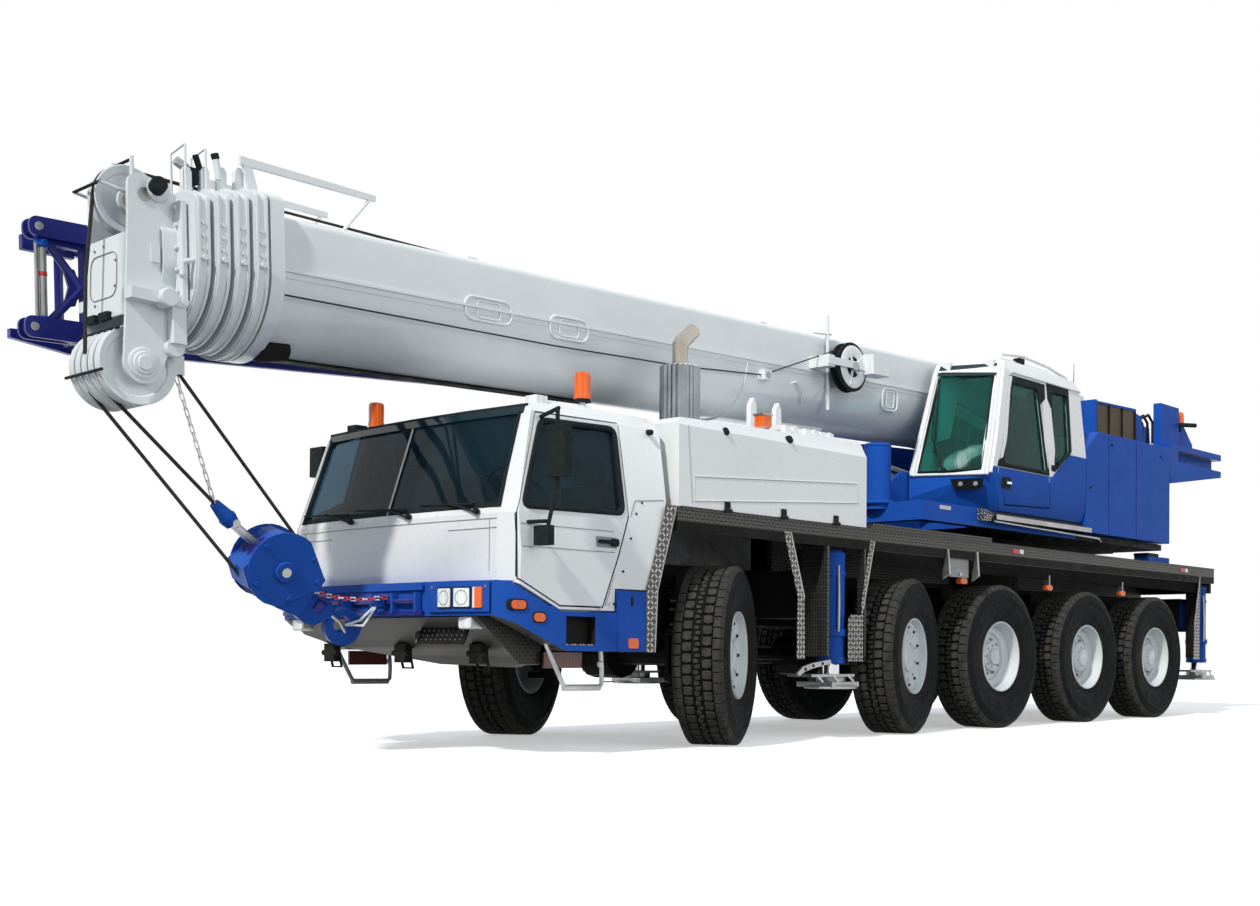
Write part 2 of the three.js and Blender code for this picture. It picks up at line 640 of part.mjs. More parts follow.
const SECTION_BACK = 900;
for (let n = 1; n <= 5; n += 1) {
  const inset = n * BOOM_STEP;
  const start = BOOM_FRONT + COLLAR - 60 + (n - 1) * COLLAR_PITCH + 12;
  const parts = [];
  if (n < 5) {
    parts.push(boomTube(inset, SECTION_BACK + n * 60, start + 40));
    parts.push(collar(inset, start, start + COLLAR, 80 + (n - 1) * 10));
  } else {
    parts.push(boomTube(inset, SECTION_BACK + n * 60, start + 120));
    // head: cheeks, front plate, one sheave above and a group of them below
    const [lowU, lowV] = SHEAVE_LOW;
    const [topU, topV] = SHEAVE_TOP;
    const cheek = [
      [start + 10, -60], [start + 10, 640], [12560, 700], [12740, 742], [12774, 690],
      [lowU + 115, lowV + 10], [lowU + 80, lowV - 70], [lowU, lowV - 100], [lowU - 80, lowV - 65],
      [12540, -330]
    ];
    const inside = HEAD_HALF - 25;
    parts.push(...both(alongY(cheek, inside, HEAD_HALF)));
    parts.push(alongY([[12752, 375], [12790, 375], [12820, -150], [12784, -150]], -inside, inside));
    parts.push(rodY(topU, topV, SHEAVE_TOP_R, -30, 70, 28));
    parts.push(rodY(topU, topV, 45, -inside - 5, inside + 5, 12));
    parts.push(rodY(lowU, lowV, SHEAVE_LOW_R, -SHEAVE_LOW_HALF, SHEAVE_LOW_HALF, 28));
    parts.push(rodY(lowU, lowV, 50, -HEAD_HALF - 30, HEAD_HALF + 30, 12));
  }
  add(n < 5 ? `boom_section_${n}` : "boom_head_section", setBoom(union(parts)), WHITE);
}

// ---------------------------------------------------------------- stowed jib
// a lattice that tapers from its pinned foot beside the boom head to its tip
const JIB_FOOT = 12640;
const JIB_TIP = 4600;
const JIB_BAYS = 5;
const JIB_LEFT = 690; // distance of the left side plane from the boom's middle, at the foot
function jibCorner(k, side, level) {
  const t = k / JIB_BAYS;
  const u = JIB_FOOT + (JIB_TIP - JIB_FOOT) * t;
  const foot = k === 0;
  const y = side ? -JIB_LEFT - 20 * t : -1050 - 10 * t;
  const v = level ? (foot ? 515 : 560) - 150 * t : (foot ? -135 : 60) + 70 * t;
  return [u, y, v];
}
const jibParts = [];
for (const side of [0, 1]) {
  for (const level of [0, 1]) {
    jibParts.push(bar(jibCorner(0, side, level), jibCorner(JIB_BAYS, side, level), 38, 5));
  }
}
for (let k = 0; k < JIB_BAYS; k += 1) {
  const flip = k % 2;
  jibParts.push(
    bar(jibCorner(k, 0, flip), jibCorner(k + 1, 0, 1 - flip), 22, 4),
    bar(jibCorner(k, 1, flip), jibCorner(k + 1, 1, 1 - flip), 22, 4),
    bar(jibCorner(k, flip, 0), jibCorner(k + 1, 1 - flip, 0), 22, 4),
    bar(jibCorner(k, flip, 1), jibCorner(k + 1, 1 - flip, 1), 22, 4)
  );
}
for (const k of [0, JIB_BAYS]) {
  jibParts.push(
    bar(jibCorner(k, 0, 0), jibCorner(k, 0, 1), 32, 4),
    bar(jibCorner(k, 1, 0), jibCorner(k, 1, 1), 32, 4),
    bar(jibCorner(k, 0, 0), jibCorner(k, 1, 0), 32, 4),
    bar(jibCorner(k, 0, 1), jibCorner(k, 1, 1), 32, 4)
  );
}
// forked foot: arms that reach forward, tied by a bent brace and a rod on the left
const armLow = [[12600, -210], [12600, -75], [13010, -85], [13010, -145]];
const armHigh = [[12600, 430], [12600, 590], [12950, 540], [12950, 440]];
jibParts.push(
  alongY(armLow, -JIB_LEFT - 25, -JIB_LEFT + 25),
  alongY(armHigh, -JIB_LEFT - 25, -JIB_LEFT + 25),
  alongY(armLow.map(([u, v]) => [u - 30, v + 10]), -1075, -1025),
  alongY(armHigh.map(([u, v]) => [u - 60, v + 30]), -1075, -1025),
  bar([12870, -JIB_LEFT, 450], [12650, -JIB_LEFT, 180], 30, 6),
  bar([12890, -JIB_LEFT, -90], [12650, -JIB_LEFT, 180], 30, 6),
  bar([12930, -JIB_LEFT, -110], [12930, -JIB_LEFT, 470], 22, 10)
);
add("stowed_jib", setBoom(union(jibParts)), BLUE);

// ---------------------------------------------------------------- luffing cylinder
const luffLength = Math.hypot(LUFF_EYE[0] - LUFF_FOOT[0], LUFF_EYE[1] - LUFF_FOOT[1]);
const luffAngle = THREE.MathUtils.radToDeg(
  Math.atan2(LUFF_EYE[1] - LUFF_FOOT[1], LUFF_EYE[0] - LUFF_FOOT[0])
);
const setLuff = (s) => s.rotate([0, -luffAngle, 0]).translate([LUFF_FOOT[0], 0, LUFF_FOOT[1]]);
const barrel = cut(
  union([
    rodX(0, 0, 165, 120, luffLength - 330, 24),
    rodY(0, 0, 130, -175, 175, 20),
    box(0, 150, -120, 120, -110, 110)
  ]),
  [rodY(0, 0, 66, -300, 300, 20), rodX(0, 0, 118, 260, luffLength, 24)]
);
add("luffing_cylinder", setLuff(barrel), WHITE);
const rod = cut(
  union([
    rodX(0, 0, 110, 300, luffLength - 60, 24),
    rodY(luffLength, 0, 110, -105, 105, 20),
    box(luffLength - 120, luffLength, -80, 80, -80, 80)
  ]),
  [rodY(luffLength, 0, 61, -300, 300, 20)]
);
add("luffing_rod", setLuff(rod), STEEL);

// ---------------------------------------------------------------- hook block
// drawn about its own middle, then turned and hung where it is tied back to the bumper
const HOOK_MIDDLE = [3206, 0, 1293];
const HOOK_HALF = 150;
const hookPlate = [
  [288, 39], [88, 275], [18, 295], [-151, 241], [-291, -28], [-252, -74], [-402, -181],
  [-456, -248], [-413, -317], [-303, -370], [-216, -343], [-148, -289], [23, -227], [234, -92]
];
const HOOK_EYE = [-545, -385];
const HOOK_EYE_R = 137;
const hookParts = [
  alongY(hookPlate.slice(0, 6).concat(hookPlate.slice(-3)), -HOOK_HALF, HOOK_HALF),
  alongY(hookPlate.slice(5), -60, 60),
  bar([-380, 0, -250], [-470, 0, -320], 40, 12),
  rodY(HOOK_EYE[0], HOOK_EYE[1], HOOK_EYE_R, -38, 38, 24).subtract(
    rodY(HOOK_EYE[0] + 20, HOOK_EYE[1] + 25, 62, -60, 60, 20)
  )
];
add("hook_block", union(hookParts).rotate([-15, 0, -8]).translate(HOOK_MIDDLE), BLUE);

export default group;
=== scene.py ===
"""A five-axle mobile crane in white and blue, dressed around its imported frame.

Lengths are metres. Most places are given from the front axle and from the crane's middle plane, and
boom places along u (forward from the boom's foot pin), y (left) and v (up from the pin).
"""

import json
import math

import bmesh
import bpy
from mathutils import Matrix, Vector

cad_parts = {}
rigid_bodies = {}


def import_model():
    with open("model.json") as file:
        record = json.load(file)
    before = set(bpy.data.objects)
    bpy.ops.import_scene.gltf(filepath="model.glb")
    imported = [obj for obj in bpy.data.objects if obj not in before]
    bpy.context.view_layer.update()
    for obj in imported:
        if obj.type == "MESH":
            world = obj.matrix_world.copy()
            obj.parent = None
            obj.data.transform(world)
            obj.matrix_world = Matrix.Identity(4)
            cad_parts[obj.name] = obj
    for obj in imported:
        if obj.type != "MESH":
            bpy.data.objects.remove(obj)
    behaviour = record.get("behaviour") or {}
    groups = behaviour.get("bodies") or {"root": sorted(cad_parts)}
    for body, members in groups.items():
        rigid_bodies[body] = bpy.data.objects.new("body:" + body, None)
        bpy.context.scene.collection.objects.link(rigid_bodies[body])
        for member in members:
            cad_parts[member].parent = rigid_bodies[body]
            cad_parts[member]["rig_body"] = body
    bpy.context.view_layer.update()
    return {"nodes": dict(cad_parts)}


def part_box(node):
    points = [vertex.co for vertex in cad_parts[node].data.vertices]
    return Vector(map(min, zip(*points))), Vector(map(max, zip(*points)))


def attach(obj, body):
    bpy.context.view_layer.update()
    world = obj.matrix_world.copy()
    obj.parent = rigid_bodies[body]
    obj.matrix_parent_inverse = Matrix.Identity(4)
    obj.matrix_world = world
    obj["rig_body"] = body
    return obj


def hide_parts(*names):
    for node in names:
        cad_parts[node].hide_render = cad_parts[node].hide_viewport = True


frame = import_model()

# ---------------------------------------------------------------- driving sizes
AXLE_X = [0, -2.586, -4.255, -6.118, -7.861]
rim_low, rim_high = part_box("rim_3_left")
FRONT_AXLE = (rim_low.x + rim_high.x) / 2 - AXLE_X[2]
WHEEL_R = 0.728
KINGPIN_Y = 0.883
TYRE_MID_Y = 1.152
STEER_LEFT = [29.4, 15.6, 0, 0, 0]
STEER_RIGHT = [25.4, 13.5, 0, 0, 0]
HALF_WIDTH = 1.375
BOOM_PIVOT = (-8.4, 3.4)
BOOM_DROP = math.radians(1.95)
ROLL_PER_AXLE = 0.37
STACK_X, STACK_Y = 0.21, 1.01
OUTRIGGER_X = [-1.56, -9.36]

CARRIER = Matrix.Translation((FRONT_AXLE, 0, 0))
BOOM = (
    CARRIER
    @ Matrix.Translation((BOOM_PIVOT[0], 0, BOOM_PIVOT[1]))
    @ Matrix.Rotation(BOOM_DROP, 4, "Y")
)


# ---------------------------------------------------------------- camera
def camera():
    """Stands at the crane's left front, low, a little turned and rolled."""
    yaw, pitch, roll = (math.radians(a) for a in (-139.0546, 0.5689, 0.3753))
    forward = Vector(
        (math.cos(yaw) * math.cos(pitch), math.sin(yaw) * math.cos(pitch), math.sin(pitch))
    )
    flat_right = Vector((math.sin(yaw), -math.cos(yaw), 0))
    flat_up = flat_right.cross(forward)
    right = flat_right * math.cos(roll) + flat_up * math.sin(roll)
    up = flat_up * math.cos(roll) - flat_right * math.sin(roll)
    data = bpy.data.cameras.new("view")
    data.lens = 41.31
    data.sensor_width = 36
    data.shift_x = -0.0829
    data.shift_y = 0.1471
    data.clip_end = 500
    seen = bpy.data.objects.new("view", data)
    seen.matrix_world = Matrix.Translation((8.6653 + FRONT_AXLE, 8.9435, 0.7495)) @ Matrix(
        (
            (right.x, up.x, -forward.x, 0),
            (right.y, up.y, -forward.y, 0),
            (right.z, up.z, -forward.z, 0),
            (0, 0, 0, 1),
        )
    )
    bpy.context.scene.collection.objects.link(seen)
    bpy.context.scene.camera = seen


camera()


# ---------------------------------------------------------------- materials
class Shader:
    """A material's node tree, with short calls for the nodes used here."""

    def __init__(self, name, colour, roughness, metallic=0.0):
        self.material = bpy.data.materials.new(name)
        self.material.use_nodes = True
        self.tree = self.material.node_tree
        self.surface = self.tree.nodes["Principled BSDF"]
        self.set("Base Color", (*colour, 1))
        self.set("Roughness", roughness)
        self.set("Metallic", metallic)
        self.place = self.node("ShaderNodeTexCoord").outputs["Object"]

    def node(self, kind):
        return self.tree.nodes.new(kind)

    def join(self, out, into):
        if isinstance(out, (int, float)):
            into.default_value = out
        else:
            self.tree.links.new(out, into)

    def set(self, socket, value):
        self.surface.inputs[socket].default_value = value

    def noise(self, scale, detail=4, rough=0.55, stretch=None):
        made = self.node("ShaderNodeTexNoise")
        made.inputs["Scale"].default_value = scale
        made.inputs["Detail"].default_value = detail
        made.inputs["Roughness"].default_value = rough
        place = self.place
        if stretch:
            turn = self.node("ShaderNodeMapping")
            turn.inputs["Scale"].default_value = stretch
            self.join(self.place, turn.inputs["Vector"])
            place = turn.outputs["Vector"]
        self.join(place, made.inputs["Vector"])
        return made.outputs["Fac"]

    def math(self, kind, a, b=0.0, c=0.0):
        made = self.node("ShaderNodeMath")
        made.operation = kind
        for value, socket in zip((a, b, c), made.inputs):
            self.join(value, socket)
        return made.outputs[0]

    def spread(self, value, low, high, new_low, new_high):
        made = self.node("ShaderNodeMapRange")
        for given, socket in zip((value, low, high, new_low, new_high), made.inputs):
            self.join(given, socket)
        return made.outputs[0]

    def mix(self, share, first, second):
        made = self.node("ShaderNodeMix")
        made.data_type = "RGBA"
        self.join(share, made.inputs["Factor"])
        for colour, socket in ((first, made.inputs["A"]), (second, made.inputs["B"])):
            if isinstance(colour, tuple):
                socket.default_value = (*colour, 1)
            else:
                self.join(colour, socket)
        return made.outputs["Result"]

    def colour(self, out):
        self.join(out, self.surface.inputs["Base Color"])

    def roughness(self, out):
        self.join(out, self.surface.inputs["Roughness"])

    def bump(self, height, distance, strength=1.0):
        made = self.node("ShaderNodeBump")
        made.inputs["Distance"].default_value = distance
        made.inputs["Strength"].default_value = strength
        self.join(height, made.inputs["Height"])
        self.join(made.outputs["Normal"], self.surface.inputs["Normal"])

    def height_above_ground(self):
        parts = self.node("ShaderNodeSeparateXYZ")
        self.join(self.place, parts.inputs[0])
        return parts.outputs["Z"]


def paint(name, colour, worn, roughness=0.3, dust=0.0, shine=0.4, coat=0.25):
    """Sprayed paint: slight mottling, a fine orange-peel, and road dust that thins upwards."""
    s = Shader(name, colour, roughness)
    broad = s.noise(1.4, 5)
    tone = s.mix(s.spread(broad, 0.35, 0.72, 0, 1), colour, worn)
    if dust:
        low = s.spread(s.height_above_ground(), 0.4, 2.2, dust, 0)
        patchy = s.math("MULTIPLY", low, s.spread(s.noise(5, 6), 0.3, 0.7, 0.3, 1))
        tone = s.mix(patchy, tone, (0.25, 0.22, 0.18))
    s.colour(tone)
    s.roughness(s.spread(s.noise(9, 4), 0.3, 0.7, roughness * 0.8, roughness * 1.3))
    s.bump(s.noise(35, 2), 0.001, 0.05)
    s.set("Specular IOR Level", shine)
    s.set("Coat Weight", coat)
    s.set("Coat Roughness", 0.12)
    return s.material


def bare_metal(name, colour, dull, roughness, metallic=0.9, stretch=None, scale=30):
    """Bare or plated metal with brushed streaks and duller patches."""
    s = Shader(name, colour, roughness, metallic)
    s.colour(s.mix(s.spread(s.noise(4, 6), 0.35, 0.7, 0, 1), colour, dull))
    streaks = s.noise(scale, 3, 0.6, stretch)
    s.roughness(s.spread(streaks, 0.3, 0.7, roughness * 0.7, roughness * 1.4))
    s.bump(streaks, 0.0012, 0.25)
    return s.material


def rubber(name, colour, dusty, share, scale=14):
    """Rubber, plastic or cloth with dusty patches."""
    s = Shader(name, colour, 0.75)
    s.colour(s.mix(s.spread(s.noise(scale, 8, 0.65), 0.3, 0.75, 0, share), colour, dusty))
    s.roughness(s.spread(s.noise(22, 5), 0.3, 0.7, 0.62, 0.9))
    s.set("Specular IOR Level", 0.08)
    s.bump(s.noise(120, 4), 0.002, 0.35)
    return s.material


def chequer_plate(name, colour, bright, pitch=0.034):
    """Aluminium floor plate: raised lozenges, every other one turned the other way."""
    s = Shader(name, colour, 0.42, 0.75)
    parts = s.node("ShaderNodeSeparateXYZ")
    s.join(s.place, parts.inputs[0])
    along = s.math("DIVIDE", s.math("ADD", parts.outputs["X"], parts.outputs["Y"]), pitch)
    across = s.math("DIVIDE", s.math("ADD", parts.outputs["Z"], parts.outputs["Y"]), pitch)
    cell = s.math("ADD", s.math("FLOOR", along), s.math("FLOOR", across))
    odd = s.math("MULTIPLY", s.math("FRACT", s.math("MULTIPLY", cell, 0.5)), 2)
    f = s.math("SUBTRACT", s.math("FRACT", along), 0.5)
    g = s.math("SUBTRACT", s.math("FRACT", across), 0.5)
    turned = s.math("MULTIPLY", g, s.spread(odd, 0, 1, 1, -1))
    length = s.math("POWER", s.math("MULTIPLY", s.math("ADD", f, turned), 1.35), 2)
    width = s.math("POWER", s.math("MULTIPLY", s.math("SUBTRACT", f, turned), 3.6), 2)
    raised = s.spread(s.math("ADD", length, width), 1.1, 0.45, 0, 1)
    grime = s.spread(s.noise(3, 6), 0.35, 0.7, 0, 0.5)
    s.colour(s.mix(grime, s.mix(raised, colour, bright), (0.06, 0.055, 0.05)))
    s.roughness(s.spread(raised, 0, 1, 0.5, 0.28))
    s.bump(raised, 0.004, 0.7)
    return s.material


def glass(name, tint, roughness=0.0):
    """Tinted pane, with a thin uneven film of dust."""
    s = Shader(name, tint, roughness)
    s.colour(s.mix(s.spread(s.noise(3, 5), 0.4, 0.8, 0, 0.5), tint, tuple(0.8 * c for c in tint)))
    s.roughness(s.spread(s.noise(6, 5), 0.4, 0.8, roughness, roughness + 0.02))
    s.set("Transmission Weight", 0.95)
    s.set("IOR", 1.2)
    s.set("Specular IOR Level", 0.12)
    return s.material


def lens(name, colour, glow=0.12):
    """Moulded lamp lens with fine vertical ribs and a faint painted glow."""
    s = Shader(name, colour, 0.12)
    ribs = s.noise(60, 1, 0.3, (1, 1, 0.05))
    s.colour(s.mix(s.spread(ribs, 0.35, 0.65, 0, 0.5), colour, tuple(0.55 * c for c in colour)))
    s.bump(ribs, 0.002, 0.5)
    s.set("Emission Color", (*colour, 1))
    # painted glow: the emission makes the part shine faintly by itself
    s.set("Emission Strength", glow)
    s.set("Coat Weight", 0.15)
    return s.material


def fins(name, colour, dark, pitch, along="X"):
    """Radiator core: close fins, with painted shade in the gaps between them and patches of dust."""
    s = Shader(name, colour, 0.55, 0.4)
    parts = s.node("ShaderNodeSeparateXYZ")
    s.join(s.place, parts.inputs[0])
    wave = s.math("SINE", s.math("MULTIPLY", parts.outputs[along], 2 * math.pi / pitch))
    # the sine wave paints shade into the gaps between the fins; the noise adds dust
    painted_shade_and_dust = s.math("ADD", s.spread(wave, -1, 1, 0, 0.6), s.spread(s.noise(8, 6), 0.3, 0.7, 0, 0.4))
    s.colour(s.mix(painted_shade_and_dust, colour, dark))
    s.bump(wave, 0.004, 0.6)
    return s.material


WHITE = paint("white_paint", (0.76, 0.78, 0.785), (0.73, 0.75, 0.755), 0.3)
BOOM_WHITE = paint("boom_white", (0.71, 0.75, 0.765), (0.66, 0.70, 0.715), 0.16)
BLUE = paint("blue_paint", (0.014, 0.085, 0.42), (0.012, 0.075, 0.37), 0.34, 0.05, 0.04, 0)
DEEP_BLUE = paint("deep_blue_paint", (0.014, 0.02, 0.22), (0.012, 0.017, 0.17), 0.36, 0, 0.3, 0.1)
BLACK = paint("black_paint", (0.006, 0.0065, 0.007), (0.012, 0.0115, 0.011), 0.55, 0.06, 0.06, 0)
GREY = paint("grey_paint", (0.30, 0.31, 0.315), (0.2, 0.2, 0.2), 0.5)
RIM = paint("rim_paint", (0.68, 0.73, 0.745), (0.56, 0.60, 0.61), 0.38, 0.15)
DARK_GLAZING = paint("dark_glazing", (0.010, 0.026, 0.034), (0.014, 0.034, 0.042), 0.06, 0, 0.4, 0)
CHEQUER = chequer_plate("chequer_plate", (0.018, 0.018, 0.017), (0.06, 0.06, 0.057), 0.028)
CHEQUER_BRIGHT = chequer_plate("bright_chequer_plate", (0.10, 0.098, 0.09), (0.62, 0.61, 0.59), 0.04)
SILL = chequer_plate("sill_plate", (0.03, 0.03, 0.028), (0.15, 0.148, 0.14), 0.028)
APRON = chequer_plate("apron_plate", (0.03, 0.029, 0.026), (0.075, 0.073, 0.066), 0.026)
TREAD = rubber("tread_rubber", (0.028, 0.028, 0.026), (0.075, 0.072, 0.064), 0.9)
RUBBER = rubber("tyre_rubber", (0.007, 0.008, 0.0085), (0.017, 0.018, 0.018), 0.8, 6)
PLASTIC = rubber("black_plastic", (0.012, 0.016, 0.018), (0.028, 0.034, 0.037), 0.7, 20)
TRIM = rubber("cab_lining", (0.03, 0.034, 0.037), (0.055, 0.06, 0.062), 0.8, 9)
SEAT = rubber("seat_cloth", (0.05, 0.065, 0.075), (0.11, 0.14, 0.15), 0.9, 40)
STEEL = bare_metal("bare_steel", (0.46, 0.47, 0.475), (0.3, 0.3, 0.29), 0.38)
CHROME = bare_metal("chrome", (0.80, 0.82, 0.84), (0.68, 0.7, 0.72), 0.09, 1.0, (1, 1, 0.02), 60)
STACK = bare_metal("stack_cover", (0.34, 0.38, 0.40), (0.2, 0.23, 0.25), 0.16, 1.0, (1, 1, 0.03), 50)
STAINLESS = bare_metal("stainless", (0.55, 0.52, 0.47), (0.38, 0.34, 0.29), 0.3, 1.0, (1, 1, 0.1), 40)
ROPE = rubber("wire_rope", (0.022, 0.023, 0.024), (0.07, 0.07, 0.068), 0.8, 60)
# these lens materials carry a faint painted glow; the reflector board, red rod bands, chain links, amber cap
# and pad ribs made of them glow too, though they are no lamps
AMBER = lens("amber_lens", (0.80, 0.13, 0.012), 0.08)
RED = lens("red_lens", (0.5, 0.02, 0.012))
REFLECTOR = lens("reflector_board", (0.16, 0.05, 0.03), 0.02)
CLEAR = lens("clear_lens", (0.80, 0.84, 0.84), 0.1)
CARRIER_GLASS = glass("cab_glass", (0.12, 0.24, 0.31))
CRANE_GLASS = glass("crane_cab_glass", (0.11, 0.47, 0.41))
COOLER = fins("cooler_core", (0.10, 0.066, 0.035), (0.035, 0.026, 0.016), 0.02)
FILM = glass("seat_cover_film", (0.30, 0.46, 0.42), 0.22)
ENGINE = bare_metal("engine_castings", (0.16, 0.165, 0.17), (0.07, 0.065, 0.06), 0.55, 0.7)


# ---------------------------------------------------------------- building pieces
AXES = {
    "x": lambda a, b, c: (c, a, b),
    "y": lambda a, b, c: (a, c, b),
    "z": lambda a, b, c: (a, b, c),
}


class Piece:
    """Gathers shapes into one mesh, each with its own material."""

    def __init__(self):
        self.bm = bmesh.new()
        self.materials = []

    def add(self, points, faces, material, place=None):
        if material not in self.materials:
            self.materials.append(material)
        index = self.materials.index(material)
        verts = [self.bm.verts.new(place @ Vector(p) if place else p) for p in points]
        for face in faces:
            self.bm.faces.new([verts[i] for i in face]).material_index = index
        return self

    def prism(self, outline, axis, start, end, material, place=None):
        """An outline in the two other directions, drawn out along an axis."""
        n = len(outline)
        to = AXES[axis]
        points = [to(a, b, start) for a, b in outline] + [to(a, b, end) for a, b in outline]
        faces = [tuple(range(n)), tuple(range(2 * n - 1, n - 1, -1))]
        faces += [(i, i + n, (i + 1) % n + n, (i + 1) % n) for i in range(n)]
        return self.add(points, faces, material, place)

    def block(self, x, y, z, material, place=None):
        """A box from its spans, its upright corners cut by a tenth of the shorter side."""
        (x0, x1), (y0, y1) = sorted(x), sorted(y)
        c = 0.1 * min(x1 - x0, y1 - y0)
        outline = [
            (x0 + c, y0), (x1 - c, y0), (x1, y0 + c), (x1, y1 - c),
            (x1 - c, y1), (x0 + c, y1), (x0, y1 - c), (x0, y0 + c),
        ]
        return self.prism(outline, "z", z[0], z[1], material, place)

    def pipe(self, points, radius, material, sides=8, closed=False, place=None):
        """A round tube swept through points; radius may be a list, one for each point."""
        path = [Vector(p) for p in points]
        count = len(path)
        radii = radius if isinstance(radius, (list, tuple)) else [radius] * count
        rings = []
        normal = None
        for i, here in enumerate(path):
            ahead = path[(i + 1) % count] if closed or i + 1 < count else here
            behind = path[i - 1] if closed or i else here
            along = (ahead - behind).normalized()
            if normal is None:
                normal = along.orthogonal().normalized()
            normal = (normal - along * normal.dot(along)).normalized()
            side = along.cross(normal)
            rings.append(
                [
                    here + (normal * math.cos(t) + side * math.sin(t)) * radii[i]
                    for t in (2 * math.pi * k / sides for k in range(sides))
                ]
            )
        flat = [p for ring in rings for p in ring]
        faces = []
        for i in range(count if closed else count - 1):
            a, b = i * sides, (i + 1) % count * sides
            faces += [(a + k, a + (k + 1) % sides, b + (k + 1) % sides, b + k) for k in range(sides)]
        if not closed:
            faces += [tuple(range(sides))[::-1], tuple(range(len(flat) - sides, len(flat)))]
        return self.add(flat, faces, material, place)

    def rod(self, a, b, radius, material, sides=16, place=None):
        """A round bar with a small chamfer at each end."""
        a, b = Vector(a), Vector(b)
        step = (b - a).normalized() * min(0.15 * radius, 0.3 * (b - a).length)
        rim = radius * 0.88
        return self.pipe(
            [a, a + step, b - step, b], [rim, radius, radius, rim], material, sides, place=place
        )

    def lathe(self, profile, material, place=None, sides=48, closed=True):
        """A profile of (radius, y) turned about the Y axis."""
        n = len(profile)
        points = [
            (r * math.cos(t), y, r * math.sin(t))
            for t in (2 * math.pi * k / sides for k in range(sides))
            for r, y in profile
        ]
        faces = []
        for k in range(sides):
            a, b = k * n, (k + 1) % sides * n
            faces += [(a + i, a + (i + 1) % n, b + (i + 1) % n, b + i)
                      for i in range(n if closed else n - 1)]
        return self.add(points, faces, material, place)

    def build(self, name, body, place=CARRIER, bevel=0.0, angle=32):
        bmesh.ops.remove_doubles(self.bm, verts=self.bm.verts, dist=1e-6)
        bmesh.ops.dissolve_degenerate(self.bm, edges=self.bm.edges, dist=1e-6)
        bmesh.ops.recalc_face_normals(self.bm, faces=self.bm.faces)
        self.bm.transform(place)
        mesh = bpy.data.meshes.new(name)
        self.bm.to_mesh(mesh)
        self.bm.free()
        for material in self.materials:
            mesh.materials.append(material)
        return show(name, mesh, body, bevel, angle)


def show(name, mesh, body, bevel=0.0, angle=32):
    """Links a mesh as a piece that rides on a body, smooth across its shallow edges."""
    mesh.shade_smooth()
    mesh.set_sharp_from_angle(angle=math.radians(angle))
    made = bpy.data.objects.new(name, mesh)
    bpy.context.scene.collection.objects.link(made)
    if bevel:
        rounding = made.modifiers.new("rounding", "BEVEL")
        rounding.width = bevel
        rounding.segments = 2
        rounding.limit_method = "ANGLE"
        rounding.angle_limit = math.radians(40)
        rounding.harden_normals = True
    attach(made, body)
    return made


def skin(node, choose, planes=(), drop=None, bevel=0.0, angle=32):
    """The node's own shape, cut along planes, with a paint chosen for each face."""
    bm = bmesh.new()
    bm.from_mesh(frame["nodes"][node].data)
    bm.transform(CARRIER.inverted())
    bmesh.ops.remove_doubles(bm, verts=bm.verts, dist=2e-4)
    bmesh.ops.dissolve_limit(bm, angle_limit=math.radians(0.7), verts=bm.verts, edges=bm.edges)
    for point, normal in planes:
        parts = bm.verts[:] + bm.edges[:] + bm.faces[:]
        bmesh.ops.bisect_plane(bm, geom=parts, dist=1e-5, plane_co=point, plane_no=normal)
    if drop:
        lost = [f for f in bm.faces if drop(f.calc_center_median())]
        bmesh.ops.delete(bm, geom=lost, context="FACES")
    materials = []
    for face in bm.faces:
        material = choose(face.calc_center_median(), face.normal)
        if material not in materials:
            materials.append(material)
        face.material_index = materials.index(material)
    bm.transform(CARRIER)
    mesh = bpy.data.meshes.new(node + "_skin")
    bm.to_mesh(mesh)
    bm.free()
    for material in materials:
        mesh.materials.append(material)
    body = frame["nodes"][node]["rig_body"]
    made = show(node + "_skin", mesh, body, bevel, angle)
    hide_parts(node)
    return made


def standing(x, y, z=0):
    """Stands a shape that is turned about Y upright at a place."""
    return Matrix.Translation((x, y, z)) @ Matrix.Rotation(math.pi / 2, 4, "X")


def arc(centre, radius, start, end, steps):
    """Points of (a, b) on a circle, between two angles in degrees."""
    turns = [math.radians(start + (end - start) * k / steps) for k in range(steps + 1)]
    return [(centre[0] + radius * math.cos(t), centre[1] + radius * math.sin(t)) for t in turns]


def rounded(x0, x1, y0, y1, r, steps=4):
    """A rectangle's outline with round corners."""
    return (
        arc((x1 - r, y1 - r), r, 0, 90, steps)
        + arc((x0 + r, y1 - r), r, 90, 180, steps)
        + arc((x0 + r, y0 + r), r, 180, 270, steps)
        + arc((x1 - r, y0 + r), r, 270, 360, steps)
    )


# ---------------------------------------------------------------- wheels
TREAD_BLOCKS = 52
TREAD_BASE = 0.706
CARCASS = [
    (0.341, 0.150), (0.358, 0.172), (0.378, 0.184), (0.400, 0.192), (0.408, 0.190), (0.46, 0.211),
    (0.53, 0.222), (0.60, 0.221), (0.608, 0.226), (0.618, 0.219), (0.66, 0.213), (0.688, 0.200),
    (TREAD_BASE, 0.168),
]


